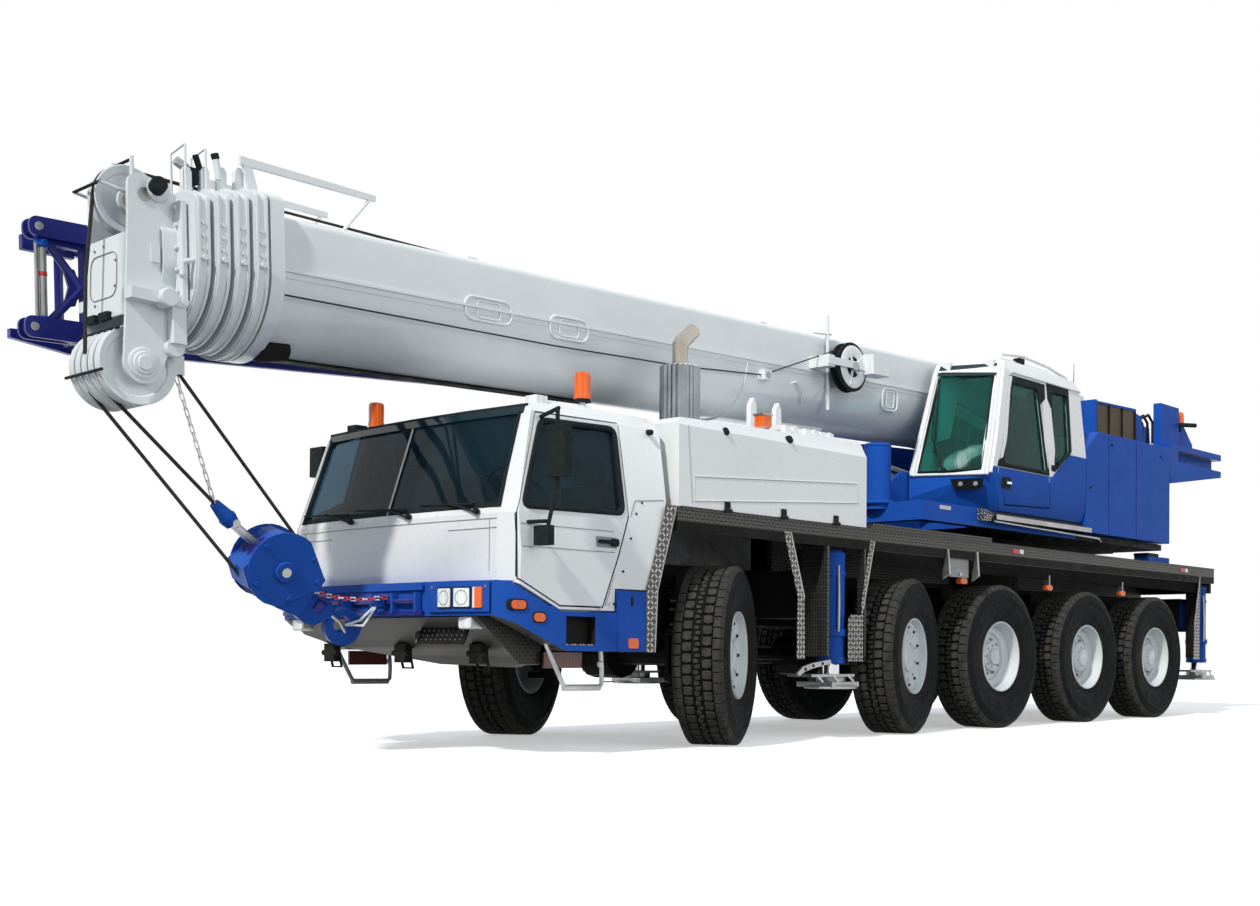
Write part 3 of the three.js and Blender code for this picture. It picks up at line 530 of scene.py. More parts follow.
def tyre_mesh():
    """A block-tread tyre about the Y axis, its outer side towards +Y."""
    piece = Piece()
    carcass = CARCASS + [(r, -y) for r, y in reversed(CARCASS)]
    piece.lathe(carcass, RUBBER, sides=72)
    pitch = 2 * math.pi / TREAD_BLOCKS
    # each column: middle, half width, then half length and start as shares of the pitch
    columns = [
        (0.006, 0.020, 0.19, 0.0), (-0.006, 0.020, 0.19, 0.5), (0.079, 0.036, 0.43, 0.25),
        (-0.079, 0.036, 0.43, 0.75), (0.153, 0.029, 0.46, 0.0), (-0.153, 0.029, 0.46, 0.5),
    ]
    for k in range(TREAD_BLOCKS):
        for middle, half, share, start in columns:
            turn = (k + start) * pitch
            long = share * pitch
            shoulder = abs(middle) > 0.12
            point = 0.25 if not shoulder else 0.0
            shape = [
                (-half, -long * (1 - point)), (0, -long), (half, -long * (1 - point)),
                (half, long * (1 - point)), (0, long), (-half, long * (1 - point)),
            ]
            rings = []
            for radius, grow in ((TREAD_BASE - 0.012, 1.0), (WHEEL_R - 0.004, 0.97), (WHEEL_R, 0.88)):
                for dy, da in shape:
                    y = middle + dy * grow
                    low = radius
                    if shoulder and dy * middle > 0 and radius < TREAD_BASE:
                        y += math.copysign(0.022, middle)
                        low = radius - 0.012
                    a = turn + da * grow
                    rings.append((low * math.cos(a), y, low * math.sin(a)))
            sides = [(i, (i + 1) % 6, (i + 1) % 6 + 6, i + 6) for i in range(6)]
            sides += [(i + 6, (i + 1) % 6 + 6, (i + 1) % 6 + 12, i + 12) for i in range(6)]
            piece.add(rings, sides, TREAD)
            piece.add(rings[12:], [tuple(range(6))], TREAD)
    return finished_mesh(piece, "tyre")


def finished_mesh(piece, name):
    """Turns a piece into a mesh that several objects share."""
    bmesh.ops.recalc_face_normals(piece.bm, faces=piece.bm.faces)
    mesh = bpy.data.meshes.new(name)
    piece.bm.to_mesh(mesh)
    piece.bm.free()
    for material in piece.materials:
        mesh.materials.append(material)
    mesh.shade_smooth()
    mesh.set_sharp_from_angle(angle=math.radians(35))
    return mesh


def ring_of(count, radius, make):
    """Calls make(x, z, angle) at even steps round a circle."""
    for k in range(count):
        t = 2 * math.pi * k / count
        make(radius * math.cos(t), radius * math.sin(t), t)


def rim_mesh(kind):
    """A steel rim about the Y axis, with its disc, nuts and hub."""
    piece = Piece()
    barrel = [
        (0.340, 0.150), (0.355, 0.168), (0.359, 0.182), (0.354, 0.192), (0.343, 0.190), (0.334, 0.172),
        (0.326, 0.125), (0.314, 0.108), (0.304, 0.06), (0.298, -0.06), (0.306, -0.13), (0.334, -0.172),
        (0.343, -0.190), (0.354, -0.192), (0.359, -0.182), (0.355, -0.168), (0.340, -0.150),
    ]
    piece.lathe(barrel, RIM, sides=64)
    if kind == "flush":
        disc = [(0.322, 0.125), (0.310, 0.136), (0.285, 0.134), (0.275, 0.122), (0.15, 0.110),
                (0.142, 0.135), (0.124, 0.138), (0.116, 0.120), (0.06, 0.118), (0.03, 0.122),
                (0.03, 0.02), (0.322, 0.02)]
        nuts, nut_radius, nut_y = 10, 0.225, 0.114
    elif kind == "bolted":
        disc = [(0.303, 0.085), (0.285, 0.060), (0.245, 0.052), (0.235, 0.03), (0.15, 0.028),
                (0.14, 0.07), (0.085, 0.078), (0.078, 0.115), (0.045, 0.12), (0.03, 0.12),
                (0.03, -0.02), (0.303, -0.02)]
        nuts, nut_radius, nut_y = 10, 0.178, 0.03
    else:
        disc = [(0.303, 0.085), (0.285, 0.060), (0.25, 0.055), (0.24, 0.03), (0.172, 0.03),
                (0.165, 0.10), (0.145, 0.118), (0.10, 0.124), (0.09, 0.142), (0.05, 0.15),
                (0.03, 0.15), (0.03, -0.02), (0.303, -0.02)]
        nuts, nut_radius, nut_y = 10, 0.205, 0.03
    piece.lathe(disc, RIM, sides=64)
    cap_y = disc[-3][1]
    piece.rod((0, cap_y - 0.05, 0), (0, cap_y + 0.004, 0), 0.034, RIM)

    def nut(x, z, t):
        length = 0.012 if kind == "flush" else 0.034
        piece.rod((x, nut_y - 0.01, z), (x, nut_y + length, z), 0.0145, STEEL, 6)

    def hole(x, z, t):
        piece.rod((x, nut_y - 0.02, z), (x, disc[2][1] + 0.0015, z), 0.014, BLACK, 12)

    ring_of(nuts, nut_radius, nut)
    ring_of(nuts, 0.272, hole)
    if kind != "flush":
        ring_of(8, 0.11, lambda x, z, t: piece.rod(
            (x, 0.06, z), (x, disc[6][1] + 0.012, z), 0.010, STEEL, 6))
    return finished_mesh(piece, "rim_" + kind)


def wheels():
    """Ten wheels from one tyre and three kinds of rim."""
    tyre = tyre_mesh()
    rims = {kind: rim_mesh(kind) for kind in ("flush", "bolted", "hubbed")}
    kinds = ["flush", "flush", "bolted", "hubbed", "hubbed"]
    for i, x in enumerate(AXLE_X):
        for side, sign in (("left", 1), ("right", -1)):
            steer = math.radians(STEER_LEFT[i] if sign > 0 else STEER_RIGHT[i])
            place = CARRIER @ Matrix.Translation((x, sign * KINGPIN_Y, WHEEL_R))
            place = place @ Matrix.Rotation(steer, 4, "Z")
            if sign < 0:
                place = place @ Matrix.Rotation(math.pi, 4, "Z")
            place = place @ Matrix.Translation((0, TYRE_MID_Y - KINGPIN_Y, 0))
            for part, mesh, slot in (("tyre", tyre, "tyre"), ("rim", rims[kinds[i]], "rim")):
                node = f"{part}_{i + 1}_{side}"
                rolled = mesh.copy()
                rolled.transform(Matrix.Rotation(ROLL_PER_AXLE * i, 4, "Y"))
                made = bpy.data.objects.new(f"{node}_look", rolled)
                bpy.context.scene.collection.objects.link(made)
                made.matrix_world = place
                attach(made, frame["nodes"][node]["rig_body"])
                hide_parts(node)


wheels()


# ---------------------------------------------------------------- carrier cab
BELT_Z = 1.704
GLASS_TOP_Z = 2.463
GLASS_LEAN = (1.965 - 2.220) / (GLASS_TOP_Z - BELT_Z)
CAB_PLAN = [(0, 2.305), (0.6, 2.290), (1.2, 2.240), (1.34, 2.190)]


def cab_front_x(y, z):
    """The cab's front skin at a height, the glass leaning back above the belt."""
    y = min(abs(y), CAB_PLAN[-1][0])
    for (y0, x0), (y1, x1) in zip(CAB_PLAN, CAB_PLAN[1:]):
        if y <= y1:
            x = x0 + (x1 - x0) * (y - y0) / (y1 - y0)
            break
    return x + GLASS_LEAN * max(0, z - BELT_Z)


def cab_side_y(z):
    """The cab's side skin at a height, leaning in above the belt."""
    if z < 1.715:
        return 1.352 + (1.366 - 1.352) * min(1, (1.715 - z) / 0.265)
    return 1.352 + (1.243 - 1.352) * (z - 1.715) / (2.440 - 1.715)


def front_strip(piece, y0, y1, z0, z1, material, proud, steps=12):
    """A thin strip that follows the cab's front between two slanting ends."""
    points = []
    for k in range(steps + 1):
        t = k / steps
        for z in (z0, z1):
            y = y0 + (y1 - y0) * t
            points.append((cab_front_x(y, z) + proud, y, z))
            points.append((cab_front_x(y, z) - 0.012, y, z))
    faces = []
    for k in range(steps):
        a, b = 4 * k, 4 * k + 4
        faces += [(a, b, b + 2, a + 2), (a + 1, a + 3, b + 3, b + 1), (a, a + 1, b + 1, b)]
        faces += [(a + 2, b + 2, b + 3, a + 3)]
    faces += [(0, 2, 3, 1), (4 * steps, 4 * steps + 1, 4 * steps + 3, 4 * steps + 2)]
    piece.add(points, faces, material)


def cab_paint(centre, normal):
    """Dark lining inside the cab, white outside."""
    inside = 0.75 < centre.x < cab_front_x(centre.y, centre.z) - 0.035
    inside = inside and abs(centre.y) < cab_side_y(centre.z) - 0.035 and centre.z < 2.525
    faces_in = normal.dot(Vector((1.5, 0, 1.9)) - centre) > 0
    return TRIM if inside and faces_in and centre.z > 1.10 else WHITE


def door_paint(centre, normal):
    """White door skin, with its mirrors and inner faces black."""
    if abs(centre.y) > 1.385 or (abs(centre.y) < cab_side_y(centre.z) - 0.03 and abs(normal.y) > 0.7):
        return PLASTIC
    return WHITE


def side_pane(piece, outline, material, inset, sign, thick=0.006):
    """A flat pane in a leaning side wall."""
    points = [(x, sign * (cab_side_y(z) - inset), z) for x, z in outline]
    points += [(x, sign * (cab_side_y(z) - inset - thick), z) for x, z in outline]
    n = len(outline)
    faces = [tuple(range(n)), tuple(range(2 * n - 1, n - 1, -1))]
    faces += [(i, (i + 1) % n, (i + 1) % n + n, i + n) for i in range(n)]
    piece.add(points, faces, material)


SIDE_GLASS = [(2.130, 1.750), (1.900, 2.380), (1.175, 2.400), (1.165, 1.770)]


def beacon(piece, upright):
    """Turning light on a short stem: pad, rubber cup and a ribbed dome."""
    pad = [(0.001, 0.0), (0.07, 0.0), (0.062, 0.03), (0.03, 0.045), (0.02, 0.09), (0.001, 0.09)]
    cup = [(0.001, 0.075), (0.055, 0.075), (0.06, 0.10), (0.001, 0.10)]
    dome = [(0.001, 0.10), (0.064, 0.10), (0.067, 0.13), (0.062, 0.15), (0.064, 0.27), (0.058, 0.296),
            (0.04, 0.305), (0.001, 0.307)]
    piece.lathe(pad, WHITE, upright, 24)
    piece.lathe(cup, PLASTIC, upright, 24)
    piece.lathe(dome, AMBER, upright, 32)


def carrier_cab():
    """Glass, trim, roof lamps, seats and doors of the driving cab."""
    skin("front_cab", cab_paint, bevel=0.012)
    pane = Piece()
    steps = 12
    points = []
    for k in range(steps + 1):
        s = -1 + 2 * k / steps
        for z, half in ((1.735, 1.21), (2.432, 1.165)):
            points.append((cab_front_x(s * half, z) - 0.018, s * half, z))
            points.append((cab_front_x(s * half, z) - 0.026, s * half, z))
    faces = []
    for k in range(steps):
        a, b = 4 * k, 4 * k + 4
        faces += [(a, b, b + 2, a + 2), (a + 1, a + 3, b + 3, b + 1)]
    pane.add(points, faces, CARRIER_GLASS)
    pane.build("windscreen", "carrier")

    trim = Piece()
    front_strip(trim, -1.215, 1.215, 1.728, 1.785, PLASTIC, -0.008)
    front_strip(trim, -1.19, 1.19, 2.42, 2.478, DARK_GLAZING, 0.003)
    front_strip(trim, -1.20, 1.20, 2.474, 2.492, PLASTIC, 0.004)
    for sign in (-1, 1):
        edge = [(cab_front_x(y, z) - 0.012, sign * y, z) for y, z in ((1.20, 1.74), (1.15, 2.43))]
        trim.pipe(edge, 0.022, PLASTIC, 8)
    divider = [(cab_front_x(0, z) - 0.008, 0, z) for z in (1.745, 2.42)]
    trim.pipe(divider, 0.008, STEEL, 8)
    for base, tip in ((1.02, 0.36), (0.30, -0.38), (-0.42, -1.08)):
        x = cab_front_x(base, 1.76) + 0.03
        pivot = Vector((cab_front_x(base, 1.72) + 0.01, base, 1.715))
        trim.rod(pivot, pivot + Vector((0.035, 0, 0.01)), 0.022, PLASTIC, 12)
        trim.pipe([pivot + Vector((0.03, 0, 0)), (x, base - 0.2, 1.765), (x, (base + tip) / 2, 1.79)],
                  0.009, PLASTIC)
        trim.pipe([(x - 0.012, base - 0.06, 1.775), (x - 0.012, tip, 1.80)], [0.011, 0.006], PLASTIC)
    # crease over the bumper, a grey line of painted shade, and the corner joints
    for sign in (-1, 1):
        crease_shade = [(cab_front_x(y, 1.6) + 0.001, sign * y, 1.595 + 0.005 * y) for y in (0.72, 1.0, 1.2)]
        trim.pipe(crease_shade, 0.004, GREY, 6)
        joint = [(cab_front_x(1.13, 1.3) + 0.001, sign * 1.13, z) for z in (1.30, 1.66)]
        trim.pipe(joint, 0.003, GREY, 6)
        trim.pipe([(2.185, sign * 1.340, z) for z in (1.26, 1.70)], 0.006, PLASTIC, 6)
    trim.pipe([(cab_front_x(y, 1.66) + 0.001, y, 1.665) for y in (-1.2, -0.6, 0, 0.6, 1.2)], 0.004,
              GREY, 6)
    trim.build("cab_front_trim", "carrier")

    roof = Piece()
    for x, y, z in ((1.17, 0.9, 2.56), (1.60, -1.12, 2.49)):
        beacon(roof, standing(x, y, z))
    for sign in (-1, 1):
        roof.block((1.74, 1.86), (sign * 1.03, sign * 1.16), (2.50, 2.575), CLEAR if sign > 0 else PLASTIC)
    roof.build("roof_lamps", "carrier", bevel=0.004)

    inside = Piece()
    inside.block((1.72, 2.12), (-1.22, 1.22), (1.30, 1.66), TRIM)
    inside.block((1.60, 1.80), (0.50, 1.10), (1.62, 1.74), TRIM)
    wheel = [(1.55 + 0.08 * math.sin(t), 0.78 + 0.21 * math.cos(t), 1.80 + 0.2 * math.sin(t))
             for t in (math.pi * k / 10 for k in range(20))]
    inside.pipe(wheel, 0.016, PLASTIC, 8, True)
    inside.pipe([(1.72, 0.78, 1.62), (1.55, 0.78, 1.80)], 0.03, PLASTIC)
    for y in (0.78, -0.78):
        inside.block((0.92, 1.06), (y - 0.25, y + 0.25), (1.45, 2.02), SEAT)
        inside.block((0.94, 1.03), (y - 0.14, y + 0.14), (2.04, 2.22), SEAT)
        inside.block((0.95, 1.45), (y - 0.26, y + 0.26), (1.42, 1.56), SEAT)
    inside.prism(rounded(-0.50, -0.16, 2.07, 2.24, 0.07), "x", 2.02, 2.05, PLASTIC)
    inside.pipe([(2.03, -0.33, 2.08), (2.10, -0.46, 1.80)], 0.012, PLASTIC)
    inside.build("cab_interior", "carrier", bevel=0.02)

    for side, sign in (("left", 1), ("right", -1)):
        body = f"cab_door_{side}"
        skin(body, door_paint, bevel=0.004)
        dress = Piece()
        side_pane(dress, SIDE_GLASS, CARRIER_GLASS, 0.022, sign)
        seal = [(x, sign * (cab_side_y(z) - 0.004), z) for x, z in soften(SIDE_GLASS, 0.06)]
        dress.pipe(seal, 0.022, PLASTIC, 8, True)
        y = sign * (cab_side_y(1.54) + 0.001)
        dress.prism(rounded(1.245, 1.455, 1.505, 1.585, 0.012), "y", y - 0.01 * sign, y + 0.004 * sign, GREY)
        dress.block((1.25, 1.44), (y + 0.004 * sign, y + 0.035 * sign), (1.535, 1.56), PLASTIC)
        dress.block((1.25, 1.31), (y + 0.004 * sign, y + 0.03 * sign), (1.52, 1.572), PLASTIC)
        # grey lines of painted shade along the door's two creases
        for z in (1.628, 1.474):
            crease_shade = [(x, sign * (cab_side_y(z) + 0.001), z) for x in (1.27, 2.16)]
            dress.pipe(crease_shade, 0.0035, GREY, 6)
        dress.build(body + "_fittings", body, bevel=0.003)


def soften(outline, r):
    """Cuts an outline's corners into short curves."""
    out = []
    n = len(outline)
    for i in range(n):
        before, here, after = (Vector(outline[(i + k) % n]) for k in (-1, 0, 1))
        start = here + (before - here).normalized() * r
        end = here + (after - here).normalized() * r
        for k in range(5):
            t = k / 4
            out.append(tuple(start * (1 - t) ** 2 + here * 2 * t * (1 - t) + end * t * t))
    return out


carrier_cab()


# ---------------------------------------------------------------- bumper and front
def bumper_paint(centre, normal):
    """Blue, with a dark apron underneath and a black step recess."""
    if centre.z < 0.99 and normal.x * 0.5 - normal.z > 0.25 and centre.x > 1.8:
        return APRON
    if 1.46 < centre.x < 1.76 and abs(centre.y) < 1.37 and 0.79 < centre.z < 1.01:
        return BLACK
    return BLUE


def bumper_x(y):
    """The bumper's front face at a distance from the middle."""
    plan = [(0, 2.450), (1.0, 2.420), (1.29, 2.330), (1.375, 2.215)]
    y = min(abs(y), HALF_WIDTH)
    for (y0, x0), (y1, x1) in zip(plan, plan[1:]):
        if y <= y1:
            return x0 + (x1 - x0) * (y - y0) / (y1 - y0)
    return plan[-1][1]


def bumper():
    """Lamps, steps, hooks and plate holder round the bumper."""
    skin("front_bumper", bumper_paint, bevel=0.014)
    panel = Piece()
    lamps = Piece()
    for sign in (-1, 1):
        # raised panel that holds the lamps, following the bumper round its corner
        ys = [0.70, 0.74, 0.9, 1.0, 1.15, 1.27]
        points = []
        for y in ys:
            proud = 0.004 if y == ys[0] else 0.022
            for z in (1.018, 1.215):
                points.append((bumper_x(y) + proud, sign * y, z))
                points.append((bumper_x(y) - 0.05, sign * y, z))
        faces = []
        for k in range(len(ys) - 1):
            a, b = 4 * k, 4 * k + 4
            faces += [(a, b, b + 2, a + 2), (a, a + 1, b + 1, b), (a + 2, b + 2, b + 3, a + 3)]
        faces += [(0, 2, 3, 1)]
        panel.add(points, faces, BLUE)
        for y0, y1 in ((0.835, 0.965), (0.995, 1.125)):
            x0, x1 = bumper_x(y0) + 0.022, bumper_x(y1) + 0.022
            middle = (y0 + y1) / 2
            turn = Matrix.Translation(((x0 + x1) / 2, sign * middle, 1.115))
            turn = turn @ Matrix.Rotation(sign * math.atan2(x0 - x1, y1 - y0), 4, "Z")
            lamps.prism(rounded(-0.075, 0.075, -0.075, 0.075, 0.012), "x", -0.02, 0.006, PLASTIC, turn)
            lamps.prism(rounded(-0.064, 0.064, -0.064, 0.064, 0.01), "x", 0, 0.013, CLEAR, turn)
            lamps.pipe([(0.014, a, b) for a, b in arc((0, 0), 0.05, 0, 330, 11)], 0.004, STEEL, 6,
                       True, turn)
        turn = Matrix.Translation((bumper_x(1.19) + 0.022, sign * 1.19, 1.115))
        turn = turn @ Matrix.Rotation(sign * math.radians(17), 4, "Z")
        lamps.prism(rounded(-0.03, 0.03, -0.072, 0.072, 0.01), "x", -0.01, 0.014, AMBER, turn)
        lamps.prism(rounded(-0.045, -0.028, -0.072, 0.072, 0.008), "x", -0.01, 0.014, CLEAR, turn)
        # marker lamps on the side and a fog lamp under the panel
        for x, z, w in ((2.19, 1.068, 0.065), (2.0, 0.985, 0.052)):
            lamps.prism(rounded(x - w, x + w, z - 0.03, z + 0.03, 0.028), "y", sign * 1.33,
                        sign * 1.383, AMBER)
            lamps.prism(rounded(x - w - 0.012, x + w + 0.012, z - 0.04, z + 0.04, 0.03), "y",
                        sign * 1.33, sign * 1.377, PLASTIC)
        lamps.prism(rounded(sign * 1.03 - 0.075, sign * 1.03 + 0.075, 0.90, 0.985, 0.02), "x", 2.27,
                    2.37, STEEL)
        lamps.prism(rounded(sign * 1.03 - 0.066, sign * 1.03 + 0.066, 0.908, 0.977, 0.018), "x",
                    2.365, 2.378, CLEAR)
        for y in (0.76, 1.24):
            panel.rod((bumper_x(y), sign * y, 1.19), (bumper_x(y) + 0.028, sign * y, 1.19), 0.011, STEEL, 8)
    # centre: recess with a tie bar, clevis and two lashing eyes
    panel.block((2.446, 2.462), (-0.66, 0.66), (1.175, 1.225), BLUE)
    panel.pipe([(2.475, y, 1.10) for y in (-0.62, -0.2, 0.2, 0.62)], 0.018, DEEP_BLUE, 12)
    for y in (-0.62, -0.3, 0.1, 0.35, 0.62):
        panel.block((2.44, 2.495), (y - 0.012, y + 0.012), (1.02, 1.16), BLUE)
    panel.block((2.44, 2.47), (-0.66, 0.66), (1.0, 1.03), DEEP_BLUE)
    for y in (0.24, -0.16):
        panel.block((2.45, 2.56), (y - 0.02, y + 0.02), (1.06, 1.14), BLUE)
    panel.build("bumper_panels", "carrier", bevel=0.006)
    lamps.build("front_lamps", "carrier", bevel=0.002)

    under = Piece()
    for sign in (-1, 1):
        tube = STEEL if sign > 0 else GREY
        y = sign * 1.29
        step = [(1.88, y, 0.86), (1.86, y, 0.79), (1.70, y, 0.515), (1.665, y, 0.49), (1.36, y, 0.488),
                (1.325, y, 0.51), (1.32, y, 0.60), (1.335, y, 0.80)]
        under.pipe(step, 0.017, tube, 10)
        under.rod((1.70, y, 0.492), (1.34, y, 0.49), 0.024, tube, 12)
        under.rod((1.33, y, 0.64), (1.335, y, 0.68), 0.025, tube, 12)
        # tread in the step recess, and the reflective board behind the step
        under.block((1.465, 1.755), (sign * 1.27, sign * 1.372), (0.785, 0.803), CHEQUER_BRIGHT)
        under.block((1.43, 1.80), (sign * 1.18, sign * 1.20), (0.63, 0.745), REFLECTOR)
        # dark hooks and brackets that hang under the apron
        for x, y in ((2.16, 0.90 * sign), (2.16, 0.02 * sign))[: 2 if sign > 0 else 1]:
            under.block((x - 0.05, x + 0.02), (y - 0.07, y + 0.07), (0.66, 0.80), BLACK)
            under.pipe([(x - 0.02, y + 0.06, 0.78), (x - 0.06, y + 0.06, 0.62), (x - 0.06, y - 0.06, 0.62),
                        (x - 0.02, y - 0.06, 0.78)], 0.011, BLACK)
            under.rod((x, y - 0.10, 0.73), (x, y + 0.10, 0.73), 0.022, BLACK)
        under.rod((2.31, sign * 0.45, 0.86), (2.34, sign * 0.45, 0.86), 0.03, BLACK)
        # step box beside the wheel, with its slot and reflector
        side = sign * HALF_WIDTH
        under.prism(rounded(0.962, 1.252, 0.752, 1.198, 0.02), "y", side, side + sign * 0.006, BLUE)
        under.prism(rounded(1.092, 1.118, 1.085, 1.16, 0.012), "y", side, side + sign * 0.008, BLACK)
        under.prism(rounded(1.04, 1.14, 0.775, 0.85, 0.015), "y", side, side + sign * 0.014, AMBER)
        for x, z in ((1.42, 1.06), (1.32, 1.10)):
            under.rod((x, side, z), (x, side + sign * 0.006, z), 0.012, STEEL, 8)
    # empty plate holder, a dark frame with holes
    holder = Matrix.Translation((2.30, 0.70, 0.855)) @ Matrix.Rotation(math.radians(-25), 4, "Y")
    under.prism(rounded(-0.27, 0.27, -0.068, 0.068, 0.012), "x", 0, 0.012, BLACK, holder)
    under.pipe([(0.02, -0.26, -0.06), (0.02, -0.26, 0.095), (0.02, 0.18, 0.095)], 0.006, STEEL, 6,
               place=holder)
    for k in range(9):
        for z in (-0.035, 0, 0.035):
            y = -0.22 + 0.055 * k
            under.rod((0.010, y, z), (0.016, y, z), 0.006, STEEL, 6, place=holder)
    under.build("under_bumper_parts", "carrier", bevel=0.002)


bumper()


# ---------------------------------------------------------------- engine housing and exhaust
def hood_paint(centre, normal):
    """White outside and black inside, with the exhaust in bare metal."""
    if centre.z > 3.055:
        return STAINLESS
    near_stack = math.hypot(centre.x - STACK_X, centre.y - STACK_Y) < 0.17
    if near_stack and centre.z > 2.60:
        return STACK
    inside = -1.81 < centre.x < 0.57 and abs(centre.y) < 1.32 and centre.z < 2.60
    return BLACK if inside and abs(normal.z) < 0.99 else WHITE


def hood():
    """Exhaust stack, lids, catches and grille of the engine housing."""
    skin("engine_housing", hood_paint, bevel=0.0,
         drop=lambda c: math.hypot(c.x - STACK_X, c.y - STACK_Y) < 0.19 and c.z > 2.62 or c.z > 2.75)
    stack = Piece()
    base = standing(STACK_X, STACK_Y)
    sides = 48
    points = []
    for k in range(sides):
        t = 2 * math.pi * k / sides
        r = 0.152 + 0.012 * (k % 2)
        for z in (2.54, 3.035):
            points.append((STACK_X + r * math.cos(t), STACK_Y + r * math.sin(t), z))
    faces = [(2 * k, 2 * ((k + 1) % sides), 2 * ((k + 1) % sides) + 1, 2 * k + 1) for k in range(sides)]
    stack.add(points, faces, STACK)
    stack.lathe([(0.001, 3.035), (0.157, 3.035), (0.160, 3.04), (0.06, 3.045), (0.001, 3.045)], CHROME,
                base, 48)
    tail = [(0.21, 1.01, 3.03), (0.21, 1.01, 3.215), (0.19, 1.01, 3.245), (0.06, 1.01, 3.36)]
    stack.pipe(tail, [0.062, 0.062, 0.064, 0.062], STAINLESS, 32)
    stack.pipe([(0.085, 1.01, 3.338), (0.058, 1.01, 3.362)], 0.055, BLACK, 24)
    stack.pipe([(0.21, 1.01, 3.205), (0.205, 1.01, 3.225)], 0.066, STAINLESS, 32)
    stack.build("exhaust_stack", "carrier", angle=50)

    dress = Piece()
    for sign in (-1, 1):
        side = sign * HALF_WIDTH
        frame_line = [(0.43, 2.115), (-1.70, 2.255), (-1.72, 2.085), (0.43, 1.925)]
        dress.pipe([(x, side + sign * 0.001, z) for x, z in frame_line], 0.005, WHITE, 6, True)
        # grey line just under the raised white frame line: a painted shadow beneath it
        dress.pipe([(x, side - sign * 0.0005, z - 0.006) for x, z in frame_line], 0.003, GREY, 6, True)
        for x, z in ((0.056, 2.505), (-0.754, 2.535)):
            y = sign * 1.36
            dress.rod((x, y - sign * 0.02, z), (x, y + sign * 0.018, z), 0.034, PLASTIC, 20)
            dress.rod((x, y, z), (x, y + sign * 0.034, z - 0.012), 0.02, PLASTIC, 12)
        for x in (0.045, -0.665, -1.385):
            dress.block((x - 0.028, x + 0.028), (side - sign * 0.01, side + sign * 0.02), (1.878, 1.945),
                        PLASTIC)
            dress.rod((x - 0.04, side + sign * 0.016, 1.875), (x + 0.04, side + sign * 0.016, 1.875),
                      0.016, PLASTIC, 10)
        # bolts and vent catch on the panel behind the door
        for x, z in ((1.018, 1.865), (1.091, 1.778), (1.161, 1.588), (1.245, 1.341), (1.33, 1.10)):
            y = sign * (cab_side_y(z) + 0.002)
            dress.rod((x - 0.06, y - sign * 0.01, z), (x - 0.06, y + sign * 0.006, z), 0.009, PLASTIC, 8)
        for line in ([(1.05, 1.875), (1.10, 1.78), (1.38, 1.085)], [(0.74, 1.905), (1.05, 1.875)]):
            dress.pipe([(x - 0.02, sign * (cab_side_y(z) + 0.001), z) for x, z in line], 0.004, GREY, 6)
        dress.rod((0.815, sign * 1.24, 2.42), (0.815, sign * 1.29, 2.415), 0.022, PLASTIC, 12)
    # filler caps, lids and rest posts on top
    dress.block((-0.78, -0.66), (1.05, 1.16), (2.66, 2.76), AMBER)
    dress.block((-0.79, -0.65), (1.04, 1.17), (2.755, 2.77), STAINLESS)
    for x in (-1.02, -1.30, -1.52):
        dress.block((x - 0.11, x + 0.11), (1.0, 1.18), (2.60, 2.70), WHITE)
        dress.rod((x - 0.02, 1.18, 2.67), (x - 0.02, 1.20, 2.67), 0.035, WHITE, 16)
    for x in (-0.88, -1.22):
        dress.prism([(-0.05, 2.58), (0.05, 2.58), (0.04, 2.90), (0, 2.96), (-0.03, 2.90)], "y", 0.82, 0.87,
                    WHITE, Matrix.Translation((x, 0, 0)))
    # louvred cooling grille on top, towards the cab
    for k in range(9):
        x = 0.42 - 0.05 * k
        dress.block((x - 0.017, x + 0.012), (-0.75, 0.75), (2.60, 2.625), CHEQUER)
    # seam between the hood and its fixed end
    for sign in (-1, 1):
        dress.pipe([(0.45, sign * (HALF_WIDTH + 0.001), 1.90), (0.50, sign * (HALF_WIDTH + 0.001), 2.50)],
                   0.003, GREY, 6)
    dress.build("hood_fittings", "carrier", bevel=0.003)


hood()


# ---------------------------------------------------------------- deck, frame, sills
SILL_BAND = 1.757


def deck_paint(centre, normal):
    """Chequer on top, sill plate along the edge, black below it."""
    if centre.z < SILL_BAND and centre.z > 1.66 and abs(centre.y) > 1.36:
        return BLACK
    side = abs(centre.y) > 1.29
    if side and centre.x < -1.91 and centre.z < 1.678 and abs(centre.y) < 1.34:
        return BLACK
    if centre.z < 1.82 and centre.x < -1.2 or 0.6 < centre.x:
        return SILL
    return CHEQUER


